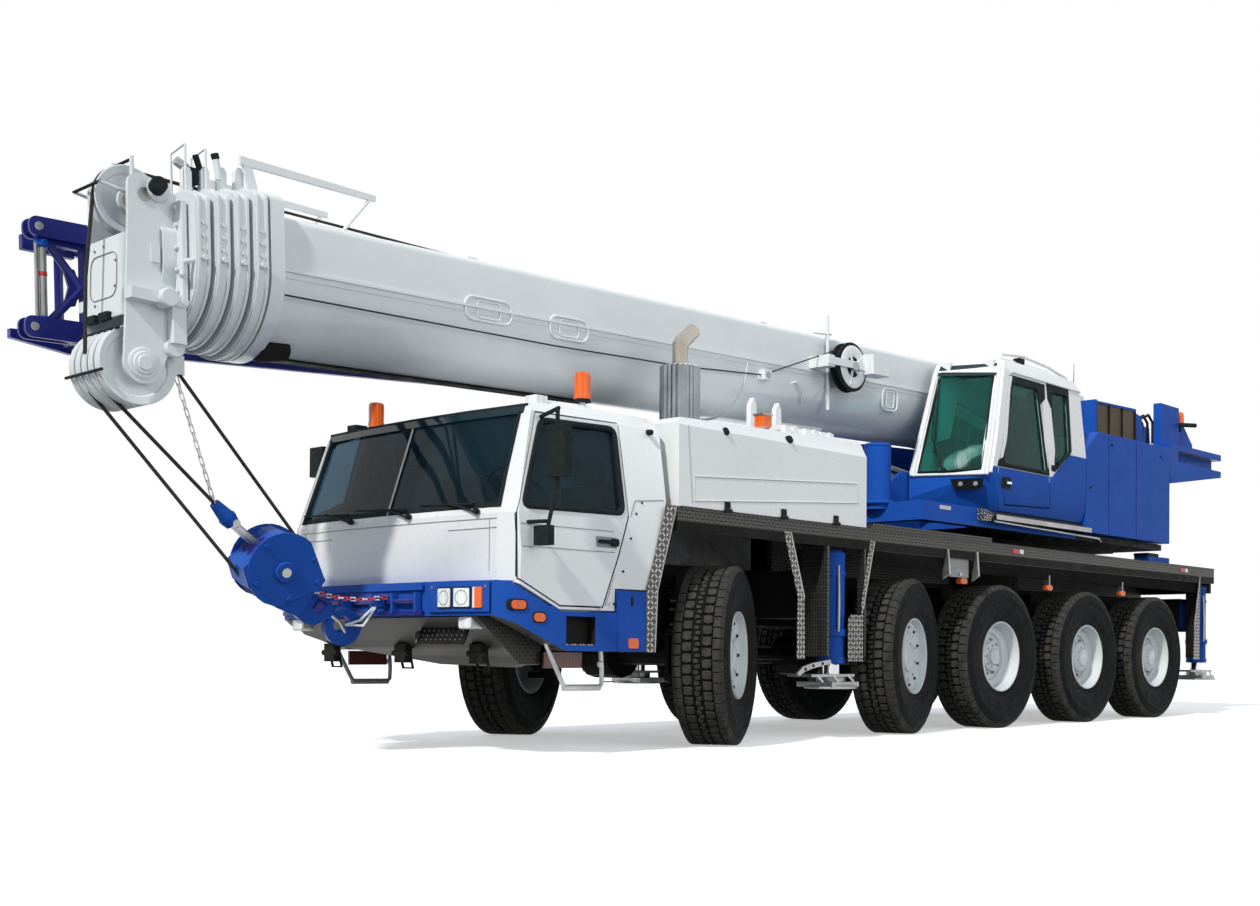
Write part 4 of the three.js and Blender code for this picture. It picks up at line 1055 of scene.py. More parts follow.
def deck():
    """Deck, frame and sills, with their steps, lamps and guards."""
    sill_cuts = [((0, 0, z), (0, 0, 1)) for z in (SILL_BAND, 1.6795)]
    skin("deck", deck_paint, sill_cuts)
    paint_node("carrier_frame", BLACK)
    under_cab = FRONT_AXLE + 1.0
    frame_mesh = frame["nodes"]["carrier_frame"].data
    frame_mesh.materials.append(APRON)
    for face in frame_mesh.polygons:
        face.material_index = 1 if face.center.x > under_cab else 0
    paint_node("axles_and_drive", BLACK)
    paint_node("engine_block", ENGINE)
    for name in frame["nodes"]:
        if name.startswith("knuckle"):
            paint_node(name, BLACK)

    sill = Piece()
    for sign in (-1, 1):
        side = sign * HALF_WIDTH
        # edge angle along the deck and a raised tread strip beside the platform
        sill.prism([(-9.51, 1.855), (0.58, 1.855), (0.58, 1.874), (-9.51, 1.874)], "y",
                   side - sign * 0.02, side + sign * 0.006, SILL)
        sill.prism([(-4.05, 1.872), (-1.95, 1.872), (-2.0, 1.925), (-4.05, 1.925)], "y",
                   side - sign * 0.03, side - sign * 0.22, SILL)
        # red reflectors and amber lamps
        for x in (-4.48, -8.55):
            sill.prism(rounded(x - 0.07, x + 0.07, 1.79, 1.835, 0.01), "y", side, side + sign * 0.006, RED)
            sill.prism(rounded(x - 0.14, x - 0.075, 1.79, 1.835, 0.008), "y", side, side + sign * 0.006,
                       CLEAR)
        for x in (-3.53, -5.25, -6.98):
            y = sign * 1.31
            sill.block((x - 0.01, x + 0.01), (y - 0.03, y + 0.03), (1.49, 1.60), STEEL)
            sill.prism(rounded(x - 0.06, x + 0.06, 1.44, 1.495, 0.025), "y", y - 0.02, y + sign * 0.035,
                       AMBER)
        # folded step with its two cheeks
        for x in (-3.17, -3.70):
            cheek = [(1.372, 1.76), (1.392, 1.76), (1.412, 1.52), (1.33, 1.47), (1.33, 1.53)]
            sill.prism([(sign * a, b) for a, b in cheek], "x", x - 0.012, x + 0.012, STEEL)
        sill.prism([(-3.26, 1.74), (-3.26, 1.50), (-3.60, 1.50), (-3.60, 1.74)], "y", sign * 1.335,
                   sign * 1.35, GREY)
        sill.rod((-3.43, sign * 1.34, 1.53), (-3.43, sign * 1.37, 1.53), 0.02, STEEL, 12)
        # chequer strips that edge the arches on each side of the jacks
        front_arch = [(0.628, 1.868), (0.640, 1.83), (0.832, 1.21), (0.855, 0.748), (0.952, 0.748),
                      (0.950, 1.20), (0.745, 1.83), (0.72, 1.868)]
        before_jack = [(-0.68, 1.757), (-0.77, 1.757), (-0.955, 1.22), (-0.965, 0.70), (-0.86, 0.70),
                       (-0.87, 1.22)]
        behind_jack = [(-1.90, 1.757), (-1.97, 1.757), (-1.80, 1.14), (-1.80, 0.68), (-1.58, 0.68),
                       (-1.58, 1.05), (-1.62, 1.09), (-1.778, 1.09), (-1.778, 1.20)]
        rear_arch = [(x - 7.10, z) for x, z in behind_jack[:3]]
        rear_arch += [(-8.88, 0.70), (-9.06, 0.70), (-9.08, 1.757)]
        for strip in (front_arch, before_jack, behind_jack, rear_arch):
            sill.prism(strip, "y", side - sign * 0.003, side + sign * 0.003, CHEQUER_BRIGHT)
            edge = [(x, side + sign * 0.002, z) for x, z in strip[: 3 if strip is not front_arch else 4]]
            sill.pipe(edge, 0.007, STEEL, 6)
        # folded guide by the jack: a curved perforated arm
        bend = [(-0.93, 0.585), (-1.0, 0.635), (-1.12, 0.665), (-1.38, 0.695), (-1.40, 0.66), (-1.14, 0.62),
                (-1.02, 0.59), (-0.95, 0.555)]
        sill.prism(bend, "y", side - sign * 0.06, side - sign * 0.04, STEEL)
        for x, z in ((-1.03, 0.612), (-1.14, 0.642), (-1.27, 0.66)):
            sill.rod((x, side - sign * 0.045, z), (x, side - sign * 0.035, z), 0.014, BLACK, 10)
        # perforated cover between the front arch and the jack
        sill.block((-1.34, -1.29), (sign * 1.02, sign * 1.30), (0.86, 1.66), CHEQUER)
    sill.block((-8.35, -7.75), (1.10, 1.30), (1.872, 1.95), BLUE)
    sill.block((-8.02, -7.70), (1.12, 1.31), (1.95, 1.985), BLACK)
    sill.build("sill_fittings", "carrier", bevel=0.002)

    lines = Piece()
    for sign in (-1, 1):
        for x in AXLE_X:
            # suspension cylinder sleeves and air lines above each axle
            lines.rod((x, sign * 0.60, 0.90), (x, sign * 0.60, 1.26), 0.085, BLACK, 20)
            lines.rod((x, sign * 0.60, 0.83), (x, sign * 0.60, 0.90), 0.05, CHROME, 20)
            lines.pipe([(x + 0.14, sign * 0.44, 1.24), (x + 0.20, sign * 0.52, 1.10),
                        (x + 0.16, sign * 0.66, 0.98), (x + 0.05, sign * 0.72, 0.86)], 0.013, PLASTIC)
        for z in (1.12, 1.19):
            lines.pipe([(0.4, sign * 0.445, z), (-9.0, sign * 0.445, z)], 0.012, STEEL)
        for x0, x1 in ((-2.35, -1.95), (-5.45, -4.95)):
            lines.pipe([(x0, sign * 0.60, 1.18), (x1, sign * 0.60, 1.18)], [0.14, 0.14], BLACK, 24)
    lines.build("chassis_lines", "carrier")

    tail = Piece()
    for sign in (-1, 1):
        tail.block((-9.565, -9.515), (sign * 0.85, sign * 1.25), (1.60, 1.74), PLASTIC)
        for k, lamp in enumerate((RED, AMBER, CLEAR)):
            y = sign * (1.17 - 0.125 * k)
            tail.prism(rounded(y - 0.05, y + 0.05, 1.62, 1.72, 0.015), "x", -9.575, -9.56, lamp)
        tail.block((-9.66, -9.60), (sign * 0.30, sign * 0.36), (1.08, 1.32), BLACK)
    tail.rod((-9.70, -0.33, 1.2), (-9.70, 0.33, 1.2), 0.03, BLACK, 16)
    tail.block((-9.72, -9.61), (-0.36, -0.30), (1.1, 1.3), BLACK)
    tail.block((-9.72, -9.61), (0.30, 0.36), (1.1, 1.3), BLACK)
    tail.build("rear_lamps_and_coupling", "carrier", bevel=0.003)


def paint_node(node, material):
    mesh = frame["nodes"][node].data
    mesh.materials.clear()
    mesh.materials.append(material)


deck()


# ---------------------------------------------------------------- outriggers
def outriggers():
    for end, x in zip(("front", "rear"), OUTRIGGER_X):
        for side, sign in (("left", 1), ("right", -1)):
            beam = f"outrigger_beam_{end}_{side}"
            jack = f"outrigger_jack_{end}_{side}"
            skin(beam, lambda c, n: BLUE, bevel=0.003)
            skin(jack, lambda c, n: CHROME if c.z > 0.57 else STEEL, bevel=0.004)
            y = sign * 1.205
            sleeve = Piece()
            upright = standing(x, y)
            # collars round the jack's sleeve: foot height, radius, height
            collars = ((0.66, 0.128, 0.05), (0.90, 0.137, 0.055), (1.43, 0.126, 0.03), (1.60, 0.122, 0.03))
            for z, r, h in collars:
                collar = [(0.112, z), (r - 0.004, z), (r, z + 0.006), (r, z + h),
                          (r - 0.004, z + h + 0.006), (0.112, z + h + 0.006)]
                sleeve.lathe(collar, BLUE, upright, 36)
            sleeve.rod((x, y, 1.60), (x, y, 1.66), 0.10, BLUE, 32)
            sleeve.pipe([(x + 0.05, y + sign * 0.115, 1.52), (x + 0.06, y + sign * 0.13, 1.2),
                         (x + 0.06, y + sign * 0.125, 0.94)], 0.012, STEEL)
            sleeve.build(beam + "_rings", frame["nodes"][beam]["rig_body"], bevel=0.0)
            pad = Piece()
            dish = [(0.001, 0.47), (0.19, 0.47), (0.235, 0.462), (0.24, 0.448), (0.235, 0.44), (0.001, 0.44)]
            pad.lathe(dish, STEEL, upright, 40)
            pad.block((x - 0.18, x + 0.43), (y - 0.17 * sign, y + 0.15 * sign), (0.545, 0.568), STEEL)
            for k in range(3):
                rib = x - 0.14 + 0.22 * k
                pad.prism([(rib, 0.50), (rib + 0.02, 0.50), (rib + 0.10, 0.56), (rib + 0.08, 0.56)], "y",
                          y + sign * 0.14, y + sign * 0.155, CLEAR)
            pad.pipe([(x - 0.14, y + sign * 0.13, 0.55), (x - 0.16, y + sign * 0.14, 0.455),
                      (x + 0.36, y + sign * 0.14, 0.455)], 0.008, STEEL)
            for dx in (-0.13, 0.13):
                pad.prism([(dx, 0.495), (dx * 0.45, 0.495), (dx * 0.45, 0.62)], "y", y - 0.012, y + 0.012,
                          STEEL, Matrix.Translation((x, 0, 0)))
            pad.build(jack + "_foot", frame["nodes"][jack]["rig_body"], bevel=0.003)


outriggers()


# ---------------------------------------------------------------- slewing platform
# height below which the rear skirt is painted black, as painted shade
PLATFORM_SHADE_TOP = 2.12


def platform_paint_and_shade(centre, normal):
    # painted shade: faces under the platform, and the rear skirt below the cut, are painted black where shade
    # falls under the superstructure
    if centre.z < 2.05 and normal.z < -0.5 or centre.z < PLATFORM_SHADE_TOP and centre.x < -5.9:
        return BLACK
    if centre.x < -8.4 and normal.z < -0.5 and centre.z > 2.9:
        return GREY
    return BLUE


def on_side(x, z, sign=1, out=0.002):
    return (x, sign * (HALF_WIDTH + out), z)


def power_paint(centre, normal):
    if centre.z > 3.20 and centre.y < 1.06 and centre.x < -6.82 and centre.z < 3.72:
        return COOLER
    return BLUE


def platform():
    # cuts off the part of the rear skirt that is painted black as shade
    shade_cuts = [((0, 0, PLATFORM_SHADE_TOP), (0, 0, 1)), ((-5.9, 0, 0), (1, 0, 0))]
    skin("slewing_platform", platform_paint_and_shade, shade_cuts, bevel=0.005)
    skin("power_housing", power_paint, bevel=0.012)
    dress = Piece()
    # doors in the power housing
    for x in (-6.55, -7.25):
        dress.pipe([on_side(x, 2.14), on_side(x, 3.24)], 0.004, DEEP_BLUE, 6)
    for x, z in ((-6.1, 2.62), (-6.62, 3.15), (-7.9, 3.15)):
        dress.rod(on_side(x, z, 1, -0.002), on_side(x, z, 1, 0.01), 0.016, PLASTIC, 12)
    # cooler frames and straps
    for x in (-6.86, -7.19, -7.53, -7.88):
        dress.prism([(x - 0.018, 3.27), (x + 0.018, 3.27), (x + 0.02, 3.735), (x - 0.018, 3.735)], "y", 0.62,
                    1.062, BLACK)
    dress.prism([(-6.86, 3.70), (-7.9, 3.735), (-7.9, 3.765), (-6.86, 3.73)], "y", 0.61, 1.06, BLUE)
    dress.prism([(-6.855, 3.25), (-6.80, 3.25), (-6.82, 3.74), (-6.875, 3.74)], "y", 0.61, 1.065, BLUE)
    # hoses from the coolers back to the winch
    for k in range(4):
        y = 0.92 - 0.07 * k
        hose = [(-7.90, y, 3.50), (-8.15, y, 3.66 - 0.02 * k), (-8.5, y + 0.02, 3.78),
                (-8.62, y + 0.02, 3.70), (-8.66, y, 3.44)]
        dress.pipe(hose, 0.018, PLASTIC, 10)
    dress.prism([(-8.02, 3.28), (-8.32, 3.28), (-8.22, 3.72), (-8.08, 3.74)], "y", 0.60, 0.98, BLUE)
    # beacon and work lamp on the left tower
    tower = standing(-9.30, 1.0, 3.76)
    dress.rod((-9.30, 1.0, 3.66), (-9.30, 1.0, 3.76), 0.016, PLASTIC, 12)
    dome = [(0.001, 0.0), (0.05, 0.0), (0.053, 0.03), (0.05, 0.13), (0.03, 0.155), (0.001, 0.158)]
    dress.lathe(dome, AMBER, tower, 24)
    dress.rod((-9.12, 1.08, 3.72), (-9.42, 1.16, 3.74), 0.028, PLASTIC, 16)
    # turned tread under the crane cab, with its nosing
    step = [(1.16, 2.205), (1.30, 2.215), (1.43, 2.145), (1.43, 2.115), (1.16, 2.115)]
    dress.prism(step, "x", -6.02, -3.99, CHEQUER)
    dress.prism([(1.425, 2.105), (1.437, 2.105), (1.437, 2.155), (1.425, 2.155)], "x", -6.02, -3.99, STEEL)
    dress.prism([(1.17, 2.215), (1.31, 2.215), (1.42, 2.15), (1.36, 2.09), (1.17, 2.09)], "x", -3.99, -3.84,
                CHEQUER_BRIGHT)
    dress.pipe([(-4.0, 1.40, 2.09), (-6.3, 1.38, 2.06), (-6.5, 1.30, 2.04)], 0.012, STEEL)
    # small plate on the beam before the cab
    dress.prism(rounded(-3.35, -3.15, 2.15, 2.19, 0.01), "y", 1.30, 1.304, STEEL)
    # round post before the cab: its lid and its foot ring
    lid = [(0.001, 2.755), (0.125, 2.755), (0.134, 2.765), (0.134, 2.785), (0.12, 2.795), (0.001, 2.80)]
    foot = [(0.125, 2.20), (0.16, 2.20), (0.165, 2.21), (0.16, 2.235), (0.125, 2.235)]
    for profile in (lid, foot):
        dress.lathe(profile, BLUE, standing(-2.88, 0.76), 36)
    # rope drum on the rear carrier: layers of wire rope between flanges
    drum = Matrix.Translation((-9.38, 0, 3.66))
    turns = 30
    coil = []
    for k in range(turns * 16 + 1):
        t = 2 * math.pi * k / 16
        y = -0.33 + 0.66 * k / (turns * 16)
        coil.append((0.203 * math.cos(t), y, 0.203 * math.sin(t)))
    dress.pipe(coil, 0.0105, ROPE, 6, place=drum)
    dress.pipe([(-9.38, 0.025, 3.87), (-8.44, 0.025, 4.03)], 0.0105, ROPE, 8)
    for y in (-0.36, 0.36):
        dress.lathe([(0.15, y - 0.012), (0.25, y - 0.012), (0.255, y), (0.25, y + 0.012), (0.15, y + 0.012)],
                    BLUE, drum, 40)
    dress.build("platform_fittings", "superstructure", bevel=0.002)


platform()


# ---------------------------------------------------------------- crane cab
CAB2_FRONT = [
    (2.60, -3.65, -4.0, 1.375), (2.95, -3.79, -4.095, 1.375), (3.69, -4.085, -4.345, 1.305),
    (3.78, -4.150, -4.400, 1.270),
]
FRONT_SILL = 2.585
BLUE_LINE = 2.65


def cab2_side_y(z):
    if z < 2.95:
        return 1.375
    return 1.375 + (1.305 - 1.375) * (z - 2.95) / (3.69 - 2.95)


def cab2_blue_line(x):
    """Top of the crane cab's blue lower half: level, then up behind the door."""
    if x > -5.22:
        return BLUE_LINE
    return min(2.93, BLUE_LINE + (-5.22 - x) * 0.7)


def cab2_paint(centre, normal):
    inside = -5.94 < centre.x < -3.72 and 0.655 < centre.y < 1.325 and 2.262 < centre.z < 3.80
    if inside and abs(centre.y - cab2_side_y(centre.z)) > 0.03:
        middle = Vector((-4.9, 1.0, 3.0))
        if normal.dot(middle - centre) > 0:
            return TRIM
    line = FRONT_SILL if normal.x > 0.5 else cab2_blue_line(centre.x)
    return BLUE if centre.z < line else WHITE


def cab2_front(t, z):
    """A point on the crane cab's front, t from the boom side to the door side."""
    for low, high in zip(CAB2_FRONT, CAB2_FRONT[1:]):
        if z <= high[0] or high is CAB2_FRONT[-1]:
            share = (z - low[0]) / (high[0] - low[0])
            break
    x_in = low[1] + (high[1] - low[1]) * share
    x_out = low[2] + (high[2] - low[2]) * share
    out = low[3] + (high[3] - low[3]) * share
    return Vector((x_in + (x_out - x_in) * t, 0.61 + (out - 0.61) * t, z))


def glazing_border(piece, outer, inner):
    """The black printed edge of a bonded side window, between its outline and the opening."""
    n = len(outer)
    points = [(x, cab2_side_y(z) + 0.004, z) for x, z in outer]
    points += [(x, cab2_side_y(z) + 0.005, z) for x, z in inner]
    piece.add(points, [(i, (i + 1) % n, (i + 1) % n + n, i + n) for i in range(n)], PLASTIC)


def crane_cab():
    planes = [
        ((0, 0, FRONT_SILL), (0, 0, 1)),
        ((0, 0, BLUE_LINE), (0, 0, 1)),
        ((-5.22, 0, BLUE_LINE), (0.7, 0, 1)),
        ((0, 0, 2.93), (0, 0, 1)),
    ]
    skin("crane_cab", cab2_paint, planes, bevel=0.006)
    skin("crane_cab_door", cab2_paint, planes, bevel=0.004)
    back = Vector((-0.018, -0.008, 0))
    pane = Piece()
    heights = [2.585, 2.75, 2.95, 3.3, 3.66]
    shares = [0.07, 0.3, 0.55, 0.88]
    points = [cab2_front(t, z) + back for z in heights for t in shares]
    n = len(shares)
    faces = [(r * n + c, r * n + c + 1, (r + 1) * n + c + 1, (r + 1) * n + c)
             for r in range(len(heights) - 1) for c in range(n - 1)]
    pane.add(points, faces, CRANE_GLASS)
    pane.add([p + Vector((-0.008, -0.003, 0)) for p in points], [f[::-1] for f in faces], CRANE_GLASS)
    for outline in ([(-5.285, 2.71), (-5.285, 3.59), (-5.67, 3.595), (-5.63, 2.94)],):
        points = [(x, cab2_side_y(z) - 0.02, z) for x, z in outline]
        points += [(x, y - 0.007, z) for x, y, z in points]
        pane.add(points, [(0, 1, 2, 3), (7, 6, 5, 4)], CRANE_GLASS)
    boom_side = [(-4.14, 2.74), (-4.39, 3.57), (-5.31, 3.61), (-5.31, 2.74)]
    points = [(x, 0.632, z) for x, z in boom_side] + [(x, 0.639, z) for x, z in boom_side]
    pane.add(points, [(0, 1, 2, 3), (7, 6, 5, 4)], CRANE_GLASS)
    pane.build("crane_cab_panes", "superstructure")

    seals = Piece()
    header_corners = ((0.07, 3.65), (0.90, 3.62), (0.90, 3.76), (0.07, 3.76))
    header = [cab2_front(t, z) + Vector((0.006, 0.002, 0)) for t, z in header_corners]
    seals.add(header, [(0, 1, 2, 3)], DARK_GLAZING)
    glazing_border(seals, [(-5.205, 2.72), (-5.205, 3.665), (-5.70, 3.665), (-5.66, 2.97)],
                   [(-5.285, 2.71), (-5.285, 3.59), (-5.67, 3.595), (-5.63, 2.94)])
    edge_corners = ((0.10, 2.60), (0.86, 2.62), (0.86, 2.95), (0.86, 3.63), (0.10, 3.67), (0.10, 2.95))
    edge = [cab2_front(t, z) for t, z in edge_corners]
    seals.pipe([p + back * 0.4 for p in edge], 0.013, PLASTIC, 8, True)
    quarter = soften([(-5.29, 2.72), (-5.29, 3.585), (-5.66, 3.59), (-5.62, 2.95)], 0.05)
    seals.pipe([(x, cab2_side_y(z) - 0.003, z) for x, z in quarter], 0.014, PLASTIC, 8, True)
    # white pillars beside the windscreen and the sill under it
    for t in (0.045, 0.935):
        seals.pipe([cab2_front(t, z) + Vector((0.004, 0, 0)) for z in (2.56, 2.75, 2.95, 3.3, 3.70)], 0.024,
                   WHITE, 10)
    seals.pipe([cab2_front(t, 2.572) + Vector((0.004, 0, 0)) for t in (0.04, 0.35, 0.65, 0.94)], 0.014, WHITE,
               10)
    # wiper down the windscreen's boom side
    out = Vector((0.035, 0.012, 0))
    seals.pipe([cab2_front(0.42, 2.62) + out, cab2_front(0.20, 2.95) + out, cab2_front(0.12, 3.42) + out],
               0.008, PLASTIC)
    seals.pipe([cab2_front(0.26, 2.80) + out, cab2_front(0.13, 3.60) + out], 0.010, PLASTIC)
    seals.rod(cab2_front(0.42, 2.62), cab2_front(0.42, 2.62) + out * 1.4, 0.022, PLASTIC, 12)
    # work lamps low on the front
    for t in (0.62, 0.80):
        lamp = cab2_front(t, 2.60) + Vector((0.0, 0.0, -0.13))
        seals.rod(lamp + Vector((-0.02, 0, 0)), lamp + Vector((0.022, 0.010, 0)), 0.024, GREY, 20)
    # a flat black quad behind the lamps stands in for their recess: painted shade
    recess_shade = [cab2_front(t, 2.60) + Vector((0.012, 0.004, dz))
              for t, dz in ((0.50, -0.075), (0.90, -0.075), (0.88, -0.185), (0.55, -0.185))]
    seals.add([*recess_shade], [(0, 1, 2, 3)], BLACK)
    # roof rail, lamp and aerial
    rail = [(-4.42, 1.20, 3.78), (-4.46, 1.20, 3.87), (-4.9, 1.19, 3.915), (-5.5, 1.16, 3.90),
            (-5.95, 1.15, 3.84), (-5.98, 1.15, 3.74)]
    seals.pipe(rail, 0.016, WHITE, 10)
    seals.block((-4.95, -4.83), (1.12, 1.20), (3.84, 3.89), PLASTIC)
    seals.pipe([(-6.40, 1.0, 3.28), (-6.40, 1.0, 3.60), (-6.42, 1.0, 4.10)], [0.010, 0.007, 0.003], PLASTIC)
    for y, x in ((0.72, -4.20), (1.14, -4.36)):
        seals.block((x - 0.05, x + 0.05), (y - 0.05, y + 0.05), (3.70, 3.79), WHITE)
    # roof gutter
    seals.pipe([(x, cab2_side_y(3.66) + 0.006, 3.672) for x in (-4.46, -5.96)], 0.011, WHITE, 8)
    seals.build("crane_cab_fittings", "superstructure")

    door = Piece()
    outline = [(-4.205, 2.69), (-4.48, 3.565), (-5.005, 3.575), (-5.115, 2.69)]
    points = [(x, cab2_side_y(z) - 0.02, z) for x, z in outline]
    points += [(x, y - 0.007, z) for x, y, z in points]
    door.add(points, [(0, 1, 2, 3), (7, 6, 5, 4)], CRANE_GLASS)
    glazing_border(door, [(-4.09, 2.655), (-4.50, 3.64), (-5.165, 3.64), (-5.165, 2.655)], outline)
    door.pipe([(x, cab2_side_y(z) - 0.002, z) for x, z in soften(outline, 0.05)], 0.014, PLASTIC, 8, True)
    door.prism(rounded(-4.36, -4.19, 2.44, 2.56, 0.03), "y", 1.37, 1.380, PLASTIC)
    door.rod((-4.33, 1.395, 2.50), (-4.24, 1.395, 2.50), 0.016, CHROME, 12)
    door.build("crane_cab_door_fittings", "crane_cab_door")

    seat = Piece()
    seat.block((-5.05, -4.60), (0.78, 1.20), (2.62, 2.76), SEAT)
    lean = Matrix.Translation((-5.02, 0.99, 2.72)) @ Matrix.Rotation(math.radians(-12), 4, "Y")
    seat.block((-0.08, 0.08), (-0.22, 0.22), (0, 0.62), SEAT, lean)
    seat.block((-0.05, 0.06), (-0.13, 0.13), (0.64, 0.84), SEAT, lean)
    seat.block((-5.0, -4.65), (0.85, 1.13), (2.30, 2.62), BLACK)
    for y in (0.76, 1.20):
        seat.block((-4.85, -4.40), (y - 0.05, y + 0.05), (2.72, 2.86), PLASTIC)
        seat.pipe([(-4.48, y, 2.86), (-4.45, y, 3.02)], [0.012, 0.022], PLASTIC)
    seat.block((-4.20, -3.98), (0.70, 0.95), (2.50, 2.98), PLASTIC)
    seat.build("crane_cab_seat", "superstructure", bevel=0.02)
    cover = Piece()
    cover.block((-0.10, 0.11), (-0.235, 0.235), (0.02, 0.60), FILM, lean)
    cover.build("seat_cover", "superstructure", bevel=0.04)


crane_cab()

# ---------------------------------------------------------------- boom
BOOM_HALF = 0.470
BOOM_AXIS = 0.222
BOOM_SHOULDER = 0.600
BOOM_CROWN = 0.648
BOOM_WALL = 0.012
BOOM_STEP = 0.034
COLLAR = 0.100
COLLAR_PITCH = 0.122
COLLAR_RISE = 0.060
BOOM_FRONT = 11.930


def boom_outline(inset, rise=0.0, steps=36):
    """The boom's section as (y, v): a round belly, upright sides and rounded shoulders."""
    r = BOOM_HALF - inset
    belly = arc((0, BOOM_AXIS), r, 180, 360, steps)
    shoulder = BOOM_SHOULDER - inset + rise
    crown = BOOM_CROWN - inset + rise
    right = arc((r - 0.05, shoulder - 0.04), 0.05, 0, 60, 4) + [(r - 0.15, crown)]
    return belly + right + [(-y, v) for y, v in reversed(right)]


def tube(piece, inner_inset, outer_inset, start, end, material, rise=0.0):
    """A hollow length of boom, open at both ends."""
    outer = boom_outline(outer_inset, rise)
    inner = boom_outline(inner_inset)
    n = len(outer)
    points = [(u, y, v) for u in (start, end) for y, v in outer]
    points += [(u, y, v) for u in (start, end) for y, v in inner]
    faces = []
    for i in range(n):
        j = (i + 1) % n
        faces += [(i, j, n + j, n + i), (2 * n + i, 3 * n + i, 3 * n + j, 2 * n + j)]
        faces += [(i, 2 * n + i, 2 * n + j, j), (n + i, n + j, 3 * n + j, 3 * n + i)]
    piece.add(points, faces, material)


def sheave(piece, u, v, y, radius, width, material):
    """A rope wheel with a groove, a dished web and lightening holes."""
    h = width / 2
    profile = [(0.04, h), (0.07, h), (0.075, 0.3 * h), (radius - 0.06, 0.3 * h), (radius - 0.05, h * 0.7),
               (radius - 0.006, h), (radius, 0.9 * h), (radius - 0.026, 0.2 * h)]
    profile += [(r, -d) for r, d in reversed(profile)]
    piece.lathe(profile, material, Matrix.Translation((u, y, v)), 56)


def boom_base():
    base = Piece()
    tube(base, BOOM_WALL, 0, 0.70, BOOM_FRONT, BOOM_WHITE)
    tube(base, BOOM_WALL, -0.055, BOOM_FRONT - 0.06, BOOM_FRONT - 0.06 + COLLAR, BOOM_WHITE, COLLAR_RISE)
    base.prism(boom_outline(0.006), "x", 0.70, 0.74, BOOM_WHITE)
    for sign in (-1, 1):
        cheek = [(-0.15, -0.12), (-0.15, 0.16), (0.30, 0.56), (0.72, 0.56), (0.72, -0.15), (0.15, -0.15)]
        base.prism(cheek, "y", sign * 0.30, sign * 0.34, BOOM_WHITE)
        # ledge where the upright side meets the belly, with its weld
        y = sign * BOOM_HALF
        ledge_end = BOOM_FRONT - 0.08
        ledge = [(0.95, 0.244), (ledge_end, 0.244), (ledge_end, 0.262), (0.95, 0.262)]
        base.prism(ledge, "y", y - sign * 0.01, y + sign * 0.016, BOOM_WHITE)
        base.pipe([(0.95, y + sign * 0.001, 0.205), (BOOM_FRONT - 0.1, y + sign * 0.001, 0.205)], 0.004,
                  BOOM_WHITE, 6)
    base.build("boom_base_tube", "boom", BOOM, angle=28)
    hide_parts("boom_base")

    dress = Piece()
    # lug of the luffing cylinder
    for sign in (-1, 1):
        lug = [(EYE_U - 0.38, -0.21), (EYE_U - 0.10, EYE_V - 0.09), (EYE_U + 0.10, EYE_V - 0.09),
               (EYE_U + 0.38, -0.21)]
        dress.prism(lug, "y", sign * 0.12, sign * 0.17, BOOM_WHITE)
        dress.rod((EYE_U, sign * 0.118, EYE_V), (EYE_U, sign * 0.19, EYE_V), 0.085, BOOM_WHITE, 32)
    dress.rod((EYE_U, -0.17, EYE_V), (EYE_U, 0.17, EYE_V), 0.055, CHROME, 24)
    # raised inspection covers on each side of the ledge
    for sign in (-1, 1):
        y = sign * (BOOM_HALF + 0.004)
        covers = ((10.13, 0.24, 0.22, 0.085), (9.32, 0.215, 0.20, 0.085), (4.90, 0.11, 0.13, 0.11))
        for u, v, half, tall in covers:
            ring = rounded(u - half, u + half, v - tall, v + tall, 0.07, 6)
            dress.pipe([(a, y if b > 0.2 else y * (1 - 0.12 * (0.2 - b)), b) for a, b in ring], 0.011,
                       BOOM_WHITE, 8, True)
            inner = rounded(u - half * 0.5, u + half * 0.5, v - tall * 0.75, v + tall * 0.75, 0.03, 4)
            dress.pipe([(a, y if b > 0.2 else y * (1 - 0.12 * (0.2 - b)), b) for a, b in inner], 0.008,
                       BOOM_WHITE, 8, True)
    # measuring cable: along the ledge to a guide, then up to its reel
    cable = [(11.95, 0.49, 0.085), (9.5, 0.487, 0.06), (8.0, 0.487, 0.075), (6.95, 0.49, 0.125)]
    dress.pipe(cable, 0.007, ROPE, 6)
    dress.pipe([(6.95, 0.49, 0.125), (6.02, 0.62, 0.45)], 0.006, ROPE, 6)
    dress.block((6.86, 6.98), (0.45, 0.53), (0.08, 0.17), WHITE)
    dress.rod((6.92, 0.53, 0.125), (6.92, 0.545, 0.125), 0.03, STEEL, 16)
    reel = Matrix.Translation((5.81, 0.62, 0.31))
    dress.lathe([(0.04, 0.05), (0.23, 0.05), (0.237, 0.045), (0.237, 0.03), (0.20, 0.022), (0.20, -0.022),
                 (0.237, -0.03), (0.237, -0.045), (0.23, -0.05), (0.04, -0.05)], PLASTIC, reel, 48)
    dress.lathe([(0.10, 0.053), (0.20, 0.053), (0.205, 0.058), (0.195, 0.064), (0.11, 0.064), (0.10, 0.058)],
                WHITE, reel, 48)
    for k in range(5):
        t = 2 * math.pi * k / 5
        dress.rod((5.81 + 0.03 * math.cos(t), 0.675, 0.31 + 0.03 * math.sin(t)),
                  (5.81 + 0.19 * math.cos(t), 0.675, 0.31 + 0.19 * math.sin(t)), 0.014, WHITE, 8)
    dress.block((5.60, 6.24), (0.69, 0.71), (0.29, 0.36), WHITE)
    dress.block((5.36, 5.66), (0.62, 0.80), (0.25, 0.44), WHITE)
    dress.block((6.12, 6.24), (0.46, 0.70), (0.27, 0.38), WHITE)
    dress.block((5.40, 5.52), (0.46, 0.66), (0.27, 0.36), WHITE)
    dress.rod((5.81, 0.56, 0.31), (5.81, 0.72, 0.31), 0.045, STEEL, 24)
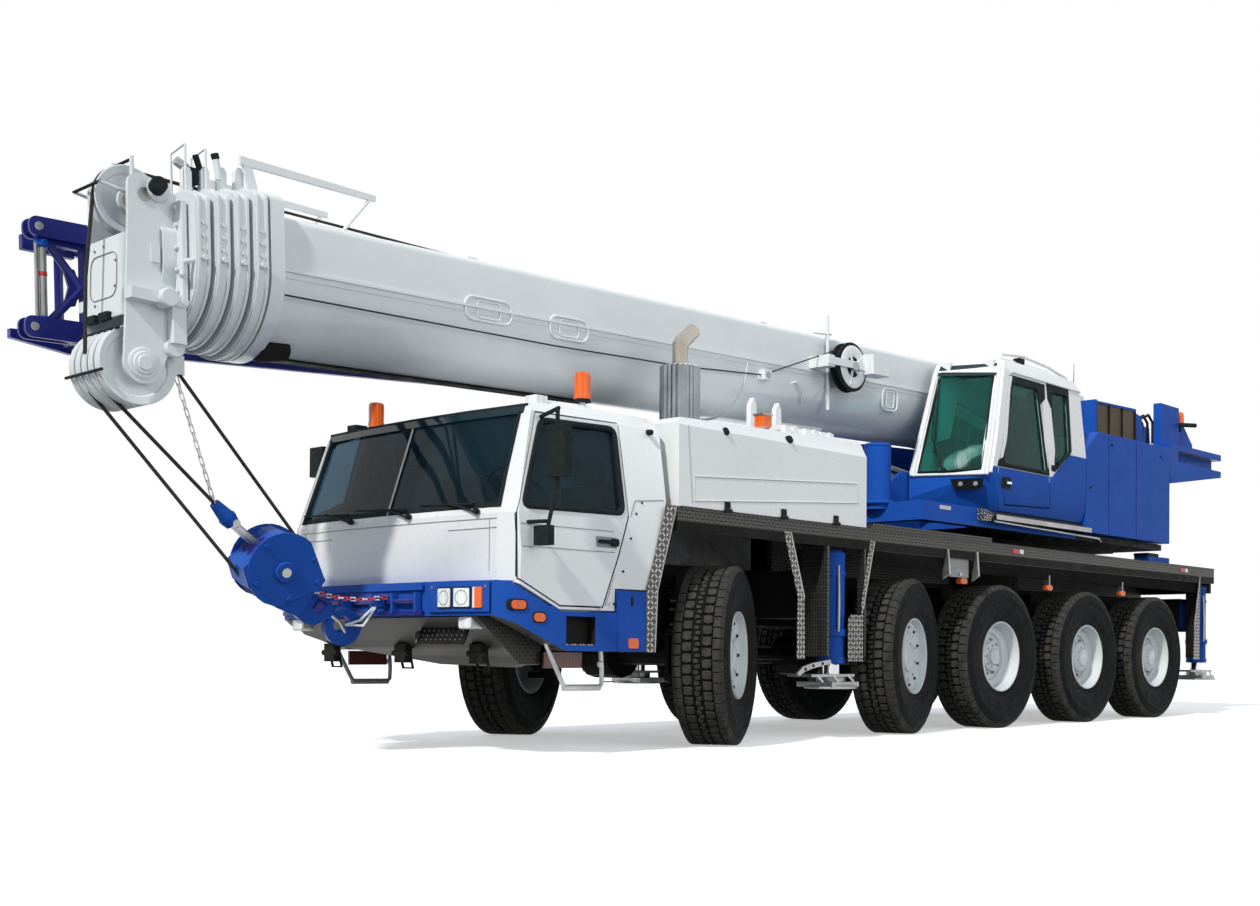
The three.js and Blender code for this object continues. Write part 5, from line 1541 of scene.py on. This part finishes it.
    # upright post at the reel, with a cross arm
    dress.pipe([(5.98, 0.49, -0.10), (5.98, 0.50, 0.40), (5.98, 0.50, 0.80)], 0.018, WHITE, 10)
    dress.pipe([(5.92, 0.50, 0.63), (6.20, 0.50, 0.61)], 0.010, WHITE, 8)
    loose_cable = [(6.55, 0.42, 0.08), (6.45, 0.48, 0.12), (6.35, 0.47, 0.05), (6.28, 0.40, -0.06)]
    dress.pipe(loose_cable, 0.008, WHITE, 8)
    # hoist rope over the crown, on its rollers
    for u in (3.0, 6.5, 10.0):
        dress.rod((u, -0.12, 0.695), (u, 0.12, 0.695), 0.022, PLASTIC, 16)
        for y in (-0.13, 0.13):
            dress.block((u - 0.05, u + 0.05), (y - 0.01, y + 0.01), (0.645, 0.72), WHITE)
    hoist_rope = [(-0.06, 0.0, 0.63), (0.3, 0.0, 0.68), (3.0, 0.0, 0.728), (6.5, 0.01, 0.728),
                  (10.0, 0.02, 0.728), (12.2, 0.02, 0.80)]
    dress.pipe(hoist_rope, 0.0105, ROPE, 8)
    # flat rail from the collar back along the crown
    for y in (0.30, -0.30):
        crown_rail = [(12.05, 0.99), (11.0, 0.945), (11.0, 0.905), (12.05, 0.935)]
        dress.prism(crown_rail, "y", y - 0.012, y + 0.012, WHITE)
        dress.pipe([(11.03, y, 0.93), (11.28, y, 0.64)], 0.012, WHITE, 8)
        rail_post = [(11.90, 0.70), (11.98, 0.70), (12.04, 0.98), (11.98, 0.98)]
        dress.prism(rail_post, "y", y - 0.01, y + 0.01, WHITE)
    # black strip and plug under the front of the belly
    dress.prism([(11.86, -0.262), (8.7, -0.262), (8.7, -0.245), (11.86, -0.245)], "y", -0.06, 0.06, BLACK)
    dress.rod((11.66, 0.16, -0.20), (11.88, 0.16, -0.235), 0.085, RUBBER, 20)
    # weld rings on the belly near the cylinder
    for u in (3.55, 7.15):
        ring = [(u, 1.006 * y, BOOM_AXIS + 1.006 * (v - BOOM_AXIS))
                for y, v in arc((0, BOOM_AXIS), BOOM_HALF, 180, 360, 36)]
        dress.pipe(ring, 0.010, BOOM_WHITE, 8)
    dress.build("boom_base_fittings", "boom", BOOM, bevel=0.0)


def rotate_eye():
    """The cylinder's eye in boom places, from its place on the machine."""
    point = Vector((-2.400, 0, 2.800)) - Vector((BOOM_PIVOT[0], 0, BOOM_PIVOT[1]))
    back = Matrix.Rotation(-BOOM_DROP, 4, "Y") @ point
    return back.x, back.z


EYE_U, EYE_V = rotate_eye()


def boom_sections():
    """The telescoping sections, each with its collar, tab and wear pads."""
    for n in range(1, 5):
        inset = n * BOOM_STEP
        start = BOOM_FRONT + COLLAR - 0.060 + (n - 1) * COLLAR_PITCH + 0.012
        piece = Piece()
        tube(piece, inset + BOOM_WALL, inset, 0.900 + n * 0.060, start + 0.040, BOOM_WHITE)
        outer = inset - 0.080 - (n - 1) * 0.010
        tube(piece, inset + BOOM_WALL, outer, start, start + COLLAR, BOOM_WHITE, COLLAR_RISE)
        # thin outer flange, and the tab that stands on the crown
        tube(piece, inset + BOOM_WALL, outer - 0.012, start + 0.010, start + 0.026, BOOM_WHITE, COLLAR_RISE)
        tube(piece, inset + BOOM_WALL, outer - 0.010, start + 0.074, start + 0.088, BOOM_WHITE, COLLAR_RISE)
        top = BOOM_CROWN - outer + COLLAR_RISE
        tab = [(start + 0.02, top - 0.05), (start + 0.02, top + 0.14), (start + 0.035, top + 0.17),
               (start + 0.065, top + 0.17), (start + 0.08, top + 0.14), (start + 0.08, top - 0.05)]
        for y in (0.24, -0.24):
            piece.prism(tab, "y", y - 0.022, y + 0.022, BOOM_WHITE)
        # bolts of the wear pads, in rows on the upright side
        half = BOOM_HALF - outer
        for sign in (-1, 1):
            for v in (0.30, 0.38, 0.46):
                piece.rod((start + 0.05, sign * (half - 0.01), v), (start + 0.05, sign * (half + 0.012), v),
                          0.013, BOOM_WHITE, 8)
            piece.rod((start + 0.05, sign * half, 0.24), (start + 0.05, sign * (half + 0.03), 0.24), 0.02,
                      BOOM_WHITE, 12)
        name = f"boom_section_{n}"
        made = piece.build(name + "_tube", name, BOOM, angle=28)
        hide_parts(name)


HEAD_HALF = 0.268
SHEAVE_LOW = (12.720, -0.440)
SHEAVE_TOP = (12.690, 0.615)


def boom_head():
    start = BOOM_FRONT + COLLAR - 0.060 + 4 * COLLAR_PITCH + 0.012
    inset = 5 * BOOM_STEP
    low_u, low_v = SHEAVE_LOW
    top_u, top_v = SHEAVE_TOP
    head = Piece()
    tube(head, inset + BOOM_WALL, inset, 1.2, start + 0.12, BOOM_WHITE)
    cheek = [(start + 0.01, -0.06), (start + 0.01, 0.64), (12.56, 0.70)]
    cheek += arc((12.715, 0.66), 0.083, 108, 10, 6)
    cheek += [(12.80, 0.45), (12.826, -0.16)]
    cheek += arc((low_u, low_v), 0.125, 15, -165, 12)
    cheek += [(12.54, -0.33)]
    for sign in (-1, 1):
        head.prism(cheek, "y", sign * (HEAD_HALF - 0.025), sign * HEAD_HALF, BOOM_WHITE)
        # bosses at the lower axle, and a rib along the cheek
        for r, y in ((0.10, 0.012), (0.075, 0.024), (0.05, 0.036)):
            head.rod((low_u, sign * (HEAD_HALF - 0.01), low_v), (low_u, sign * (HEAD_HALF + y), low_v), r,
                     BOOM_WHITE, 32)
        head.rod((low_u - 0.20, sign * (HEAD_HALF - 0.01), low_v + 0.12),
                 (low_u - 0.20, sign * (HEAD_HALF + 0.035), low_v + 0.12), 0.065, BOOM_WHITE, 28)
        ledge = [(12.83, -0.055), (12.47, -0.075), (12.44, -0.03), (12.52, 0.0), (12.83, 0.012)]
        head.prism(ledge, "y", sign * (HEAD_HALF - 0.01), sign * (HEAD_HALF + 0.085), BOOM_WHITE)
        head.rod((12.60, sign * (HEAD_HALF + 0.01), -0.03), (12.60, sign * (HEAD_HALF + 0.13), -0.03), 0.06,
                 BOOM_WHITE, 28)
        head.block((12.46, 12.56), (sign * HEAD_HALF, sign * (HEAD_HALF + 0.07)), (-0.30, -0.06), BOOM_WHITE)
        head.block((12.60, 12.66), (sign * HEAD_HALF, sign * (HEAD_HALF + 0.012)), (0.20, 0.31), BOOM_WHITE)
        # flange that joins the cheek to the tube, with bolts
        head.block((start - 0.01, start + 0.03), (sign * HEAD_HALF, sign * 0.36), (-0.06, 0.60), BOOM_WHITE)
        for v in (0.03, 0.17, 0.31, 0.45, 0.56):
            head.rod((start + 0.03, sign * 0.31, v), (start + 0.05, sign * 0.31, v), 0.014, BOOM_WHITE, 8)
        # grab handle
        head.pipe([(start + 0.02, sign * 0.34, 0.13), (12.52, sign * 0.40, 0.13), (12.52, sign * 0.40, 0.20),
                   (12.40, sign * 0.42, 0.24)], 0.018, BOOM_WHITE, 10)
    front = [(12.80, 0.36), (12.822, 0.36), (12.845, -0.15), (12.823, -0.15)]
    head.prism(front, "y", -HEAD_HALF + 0.02, HEAD_HALF - 0.02, BOOM_WHITE)
    # hatch in the front plate, its line and screws
    hatch = [(12.824 + (0.36 - v) * 0.045, y, v) for y, v in rounded(-0.17, 0.18, -0.02, 0.26, 0.07, 5)]
    head.pipe(hatch, 0.004, GREY, 6, True)
    for y, v in ((-0.12, 0.30), (0.0, 0.31), (0.16, 0.2), (0.16, 0.04), (-0.1, -0.05)):
        u = 12.824 + (0.36 - v) * 0.045
        head.rod((u - 0.004, y, v), (u + 0.006, y, v), 0.009, GREY, 8)
    for y in (-0.11, 0.06):
        head.block((12.84, 12.875), (y - 0.06, y + 0.06), (-0.165, -0.115), PLASTIC)
    head.rod((low_u, -HEAD_HALF - 0.03, low_v), (low_u, HEAD_HALF + 0.03, low_v), 0.045, STEEL, 24)
    head.rod((top_u, -HEAD_HALF + 0.02, top_v), (top_u, HEAD_HALF + 0.01, top_v), 0.045, STEEL, 24)
    for k in range(5):
        sheave(head, low_u, low_v, -0.172 + 0.086 * k, 0.252, 0.064, BOOM_WHITE)
    sheave(head, top_u, top_v, 0.02, 0.222, 0.10, BOOM_WHITE)
    # rope guards: thin rods across the sheaves
    for u, v in ((12.97, -0.50), (12.86, -0.23)):
        head.rod((u, -0.25, v), (u, 0.24, v), 0.010, PLASTIC, 10)
    head.rod((12.935, -0.16, 0.66), (12.935, 0.20, 0.66), 0.010, PLASTIC, 10)
    head.rod((12.70, -0.16, 0.86), (12.70, 0.14, 0.86), 0.010, PLASTIC, 10)
    for y in (-0.15, 0.19):
        head.pipe([(12.70, y, 0.615), (12.94, y, 0.66)], 0.012, BOOM_WHITE, 8)
        head.pipe([(12.70, y * 0.7, 0.72), (12.70, y * 0.7, 0.88)], 0.014, BOOM_WHITE, 8)
    # lamp socket on the cheek, and the camera in its frame on the crown
    head.rod((12.615, HEAD_HALF - 0.01, 0.66), (12.64, HEAD_HALF + 0.10, 0.67), 0.052, PLASTIC, 24)
    head.rod((12.60, HEAD_HALF - 0.01, 0.655), (12.60, HEAD_HALF + 0.03, 0.655), 0.075, BOOM_WHITE, 24)
    for u in (12.28, 12.42):
        head.pipe([(u, 0.10, 0.66), (u, 0.10, 0.96), (u, 0.28, 0.985), (u, 0.28, 0.66)], 0.008, WHITE, 8)
    head.block((12.31, 12.38), (0.13, 0.25), (0.76, 0.86), PLASTIC)
    head.rod((12.36, 0.19, 0.86), (12.44, 0.19, 0.90), 0.030, STEEL, 20)
    head.pipe([(12.30, 0.24, 0.86), (12.34, 0.26, 0.94)], 0.02, PLASTIC, 10)
    head.rod((12.20, 0.30, 0.80), (12.22, 0.30, 0.93), 0.022, BOOM_WHITE, 16)
    head.rod((12.22, 0.30, 0.93), (12.23, 0.30, 0.965), 0.026, PLASTIC, 16)
    # hoist rope: over the top sheave and down the front to the lower ones
    rope = [(12.2, 0.02, 0.80)]
    rope += [(a, 0.02, b) for a, b in arc(SHEAVE_TOP, 0.208, 100, 5, 10)]
    rope += [(12.955, 0.02, 0.1), (12.965, 0.01, -0.38)]
    head.pipe(rope, 0.0125, ROPE, 8)
    # limit switch with the chain that hangs from it
    head.block((12.38, 12.46), (0.06, 0.15), (-0.46, -0.34), BOOM_WHITE)
    head.pipe([(12.42, 0.10, -0.34), (12.44, 0.10, -0.28)], 0.012, STEEL)
    made = head.build("boom_head_look", "boom_head_section", BOOM, angle=28)
    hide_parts("boom_head_section")


boom_base()
boom_sections()
boom_head()


# ---------------------------------------------------------------- luffing cylinder and jib
def luffing():
    skin("luffing_cylinder", lambda c, n: WHITE, angle=40)
    skin("luffing_rod", lambda c, n: CHROME, angle=40)
    foot = Vector((-6.6, 0, 2.35))
    eye = Vector((-2.4, 0, 2.8))
    along = (eye - foot).normalized()
    dress = Piece()
    length = (eye - foot).length
    for at, r, wide in ((length - 0.36, 0.182, 0.09), (0.20, 0.178, 0.06), (2.0, 0.170, 0.03)):
        a = foot + along * at
        dress.rod(a, a + along * wide, r, WHITE, 40)
    side = Vector((0, 0.17, 0.05))
    dress.pipe([foot + along * 0.4 + side, foot + along * 2.0 + side, foot + along * (length - 0.5) + side],
               0.016, STEEL, 10)
    dress.build("luffing_cylinder_bands", "luffing_cylinder")


def jib():
    skin("stowed_jib", lambda c, n: DEEP_BLUE, angle=50)
    dress = Piece()
    y = -0.69
    # pin lugs at the foot: forked ends with their eyes
    for v0, v1, u in ((0.47, 0.60, 12.98), (-0.19, -0.05, 13.02)):
        middle = (v0 + v1) / 2
        lug = rounded(u - 0.42, u + 0.03, v0, v1, 0.05, 5)
        for dy in (-0.05, 0.05):
            dress.prism(lug, "y", y + dy - 0.012, y + dy + 0.012, DEEP_BLUE)
        dress.rod((u - 0.03, y - 0.075, middle), (u - 0.03, y + 0.075, middle), 0.028, STEEL, 16)
    # gusset of the bent brace
    gusset = [(12.70, 0.06), (12.66, 0.18), (12.70, 0.30), (12.78, 0.32), (12.74, 0.18), (12.78, 0.04)]
    dress.prism(gusset, "y", y - 0.012, y + 0.012, DEEP_BLUE)
    # support rods with their red bands
    dress.rod((12.915, y + 0.02, -0.06), (12.915, y + 0.02, 0.44), 0.026, STEEL, 20)
    dress.rod((12.915, y + 0.02, 0.22), (12.915, y + 0.02, 0.25), 0.029, RED, 20)
    dress.rod((12.96, y + 0.03, -0.05), (12.96, y + 0.03, 0.43), 0.011, STEEL, 12)
    for v in (-0.07, 0.43):
        dress.rod((12.915, y + 0.02, v - 0.02), (12.915, y + 0.02, v + 0.03), 0.042, BLUE, 20)
    # brackets that carry the jib on the boom's side
    for u in (11.2, 7.5, 5.0):
        dress.block((u - 0.04, u + 0.04), (-0.68, -0.46), (0.30, 0.36), BLUE)
        dress.block((u - 0.02, u + 0.02), (-0.70, -0.66), (0.20, 0.44), BLUE)
    # tip sheave
    sheave(dress, 4.68, 0.28, -0.87, 0.16, 0.06, DEEP_BLUE)
    dress.rod((4.68, -1.03, 0.28), (4.68, -0.72, 0.28), 0.03, STEEL, 16)
    dress.build("jib_fittings", "boom", BOOM)


luffing()
jib()

# ---------------------------------------------------------------- hook block and reeving
HOOK_MIDDLE = Vector((3.206, 0, 1.293))
HOOK = (
    CARRIER
    @ Matrix.Translation(HOOK_MIDDLE)
    @ Matrix.Rotation(math.radians(-8), 4, "Z")
    @ Matrix.Rotation(math.radians(-15), 4, "X")
)


def hook_block():
    """Side plates, sheaves and hook of the block."""
    skin("hook_block", lambda c, n: BLUE, bevel=0.012, angle=35)
    dress = Piece()
    # side plates stand proud, with the axle's cap and bolts
    plate = arc((0, 0.04), 0.262, -62, 128, 16)
    plate += [(-0.17, 0.23), (-0.30, -0.02), (-0.26, -0.09), (0.02, -0.22)]
    for sign in (-1, 1):
        dress.prism(plate, "y", sign * 0.148, sign * 0.164, BLUE)
        dress.rod((0, sign * 0.16, 0.03), (0, sign * 0.19, 0.03), 0.075, BLUE, 28)
        dress.rod((0, sign * 0.19, 0.03), (0, sign * 0.20, 0.03), 0.035, STEEL, 16)
        for x, z in ((-0.20, 0.13), (0.15, 0.20), (0.19, -0.06), (-0.05, -0.16), (-0.24, -0.03)):
            dress.rod((x, sign * 0.16, z), (x, sign * 0.178, z), 0.018, BLUE, 6)
    for k in range(3):
        sheave(dress, 0.0, 0.03, -0.09 + 0.09 * k, 0.245, 0.07, DEEP_BLUE)
    # swivel nut, safety latch and the hook's bill
    dress.rod((-0.30, 0, -0.20), (-0.36, 0, -0.24), 0.085, DEEP_BLUE, 28)
    dress.pipe([(-0.44, 0.03, -0.30), (-0.50, 0.04, -0.34), (-0.56, 0.03, -0.42)], 0.014, STEEL)
    dress.build("hook_block_fittings", "hook_block", HOOK, bevel=0.003)

    falls = Piece()
    head = BOOM @ Vector((SHEAVE_LOW[0], 0, SHEAVE_LOW[1]))
    block = HOOK @ Vector((0, 0, 0.03))
    along = (block - head).normalized()
    out = Vector((-along.z, 0, along.x)).normalized()
    if out.x < 0:
        out = -out
    for y, side in ((-0.08, 1), (0.12, -1)):
        start = head + out * side * 0.235 + Vector((0, y, 0))
        end = block + out * side * 0.225 + Vector((0, y * 0.55, 0))
        falls.pipe([start, (start + end) / 2, end], 0.0125, ROPE, 8)
    # dead end: socket with its weight, and the link down to the block
    top = CARRIER @ Vector((3.68, 0.03, 1.72))
    weight = CARRIER @ Vector((3.585, 0.02, 1.638))
    link = CARRIER @ Vector((3.54, 0.02, 1.594))
    low = CARRIER @ Vector((3.33, 0.02, 1.445))
    falls.pipe([head + out * 0.235 + Vector((0, 0.10, 0)), top], 0.0125, ROPE, 8)
    falls.pipe([top, weight + (weight - top) * 0.2], [0.035, 0.06], BLUE, 20)
    falls.pipe([weight, link], [0.062, 0.05], BLUE, 20)
    for dy in (-0.028, 0.028):
        falls.pipe([link + Vector((0, dy, 0)), low + Vector((0, dy, 0))], 0.02, STEEL, 10)
    for at in (link, low):
        falls.rod(at + Vector((0, -0.06, 0)), at + Vector((0, 0.06, 0)), 0.028, STEEL, 16)
    # limit switch chain, in links
    start = BOOM @ Vector((12.42, 0.10, -0.46))
    for k in range(16):
        here = start.lerp(top, k / 16)
        there = start.lerp(top, (k + 1.25) / 16)
        twist = Vector((0, 0.012, 0)) if k % 2 else Vector((0.012, 0, 0.0))
        falls.pipe([here + twist, there + twist, there - twist, here - twist], 0.0045, STEEL, 6, True)
    falls.build("hoist_falls", "hook_block", Matrix.Identity(4))

    lashing = Piece()
    start = HOOK @ Vector((-0.26, 0.10, -0.12))
    end = CARRIER @ Vector((2.50, 0.30, 1.13))
    links = 18
    for k in range(links):
        here = start.lerp(end, k / links)
        there = start.lerp(end, (k + 1.2) / links)
        sag = -0.03 * math.sin(math.pi * (k + 0.5) / links)
        twist = Vector((0, 0, 0.011)) if k % 2 else Vector((0.008, 0.008, 0))
        low = Vector((0, 0, sag))
        link = [here + twist + low, there + twist + low, there - twist + low, here - twist + low]
        lashing.pipe(link, 0.0055, RED if k % 3 else WHITE, 6, True)
    eye = HOOK @ Vector((-0.545, 0.06, -0.36))
    knot = CARRIER @ Vector((2.50, 0.22, 1.10))
    for shift in (0.0, 0.04):
        lashing.pipe([knot, knot.lerp(eye, 0.5) + Vector((0.02, shift, -0.05 - shift)), eye], 0.009, WHITE, 8)
    lashing.build("hook_lashing", "hook_block", Matrix.Identity(4))


hook_block()


# ---------------------------------------------------------------- floor and lights
def floor():
    """Ground that looks bright and throws little light up at the crane."""
    s = Shader("studio_floor", (0.82, 0.82, 0.82), 0.9)
    s.bump(s.noise(30, 3), 0.001, 0.1)
    path = s.node("ShaderNodeLightPath")
    seen = s.math("ADD", path.outputs["Is Camera Ray"], path.outputs["Is Glossy Ray"])
    seen = s.math("MINIMUM", s.math("ADD", seen, path.outputs["Is Transmission Ray"]), 1)
    s.colour(s.mix(seen, (0.22, 0.22, 0.22), (0.80, 0.80, 0.80)))
    glow = s.node("ShaderNodeEmission")
    glow.inputs["Color"].default_value = (1, 1, 1, 1)
    s.join(s.math("MULTIPLY", seen, 0.42), glow.inputs["Strength"])
    both = s.node("ShaderNodeAddShader")
    s.join(s.surface.outputs["BSDF"], both.inputs[0])
    s.join(glow.outputs["Emission"], both.inputs[1])
    s.join(both.outputs["Shader"], s.tree.nodes["Material Output"].inputs["Surface"])
    mesh = bpy.data.meshes.new("studio_floor")
    half = 150
    corners = [(-half, -half, 0), (half, -half, 0), (half, half, 0), (-half, half, 0)]
    mesh.from_pydata(corners, [], [(0, 1, 2, 3)])
    mesh.materials.append(s.material)
    made = bpy.data.objects.new("studio_floor", mesh)
    bpy.context.scene.collection.objects.link(made)


def world():
    """A white sky to look at, and a softer graded one as light."""
    made = bpy.data.worlds.new("studio")
    bpy.context.scene.world = made
    made.use_nodes = True
    nodes, links = made.node_tree.nodes, made.node_tree.links
    nodes.clear()
    path = nodes.new("ShaderNodeLightPath")
    place = nodes.new("ShaderNodeTexCoord")
    parts = nodes.new("ShaderNodeSeparateXYZ")
    links.new(place.outputs["Generated"], parts.inputs[0])
    height = nodes.new("ShaderNodeMapRange")
    links.new(parts.outputs["Z"], height.inputs[0])
    for socket, value in zip(height.inputs[1:5], (-0.05, 0.9, 0.0, 1.0)):
        socket.default_value = value
    sky = nodes.new("ShaderNodeMix")
    sky.data_type = "RGBA"
    links.new(height.outputs[0], sky.inputs["Factor"])
    sky.inputs["A"].default_value = (0.86, 0.90, 0.93, 1)
    sky.inputs["B"].default_value = (0.52, 0.62, 0.74, 1)
    soft = nodes.new("ShaderNodeBackground")
    soft.inputs["Strength"].default_value = 0.68
    links.new(sky.outputs["Result"], soft.inputs["Color"])
    white = nodes.new("ShaderNodeBackground")
    white.inputs["Color"].default_value = (1, 1, 1, 1)
    white.inputs["Strength"].default_value = 1.0
    pick = nodes.new("ShaderNodeMixShader")
    seen = path.outputs["Is Camera Ray"]
    for ray in ("Is Glossy Ray", "Is Transmission Ray"):
        total = nodes.new("ShaderNodeMath")
        total.operation = "MAXIMUM"
        links.new(seen, total.inputs[0])
        links.new(path.outputs[ray], total.inputs[1])
        seen = total.outputs[0]
    links.new(seen, pick.inputs[0])
    links.new(soft.outputs[0], pick.inputs[1])
    links.new(white.outputs[0], pick.inputs[2])
    out = nodes.new("ShaderNodeOutputWorld")
    links.new(pick.outputs[0], out.inputs["Surface"])


def lamp(name, kind, energy, place, target, size=None, colour=(1, 1, 1)):
    data = bpy.data.lights.new(name, kind)
    data.energy = energy
    data.color = colour
    if kind == "SUN":
        data.angle = size
    else:
        data.size = size
    made = bpy.data.objects.new(name, data)
    bpy.context.scene.collection.objects.link(made)
    made.location = place
    made.rotation_euler = (Vector(target) - Vector(place)).to_track_quat("-Z", "Y").to_euler()
    made.visible_glossy = False


floor()
world()
lamp("key", "SUN", 2.9, (9, 1.9, 9), (0, 0, 1), math.radians(3), (1.0, 0.97, 0.92))
lamp("side_fill", "AREA", 520, (4, 14, 6), (0, 0, 1.6), 9)

bpy.context.scene.view_settings.view_transform = "Standard"
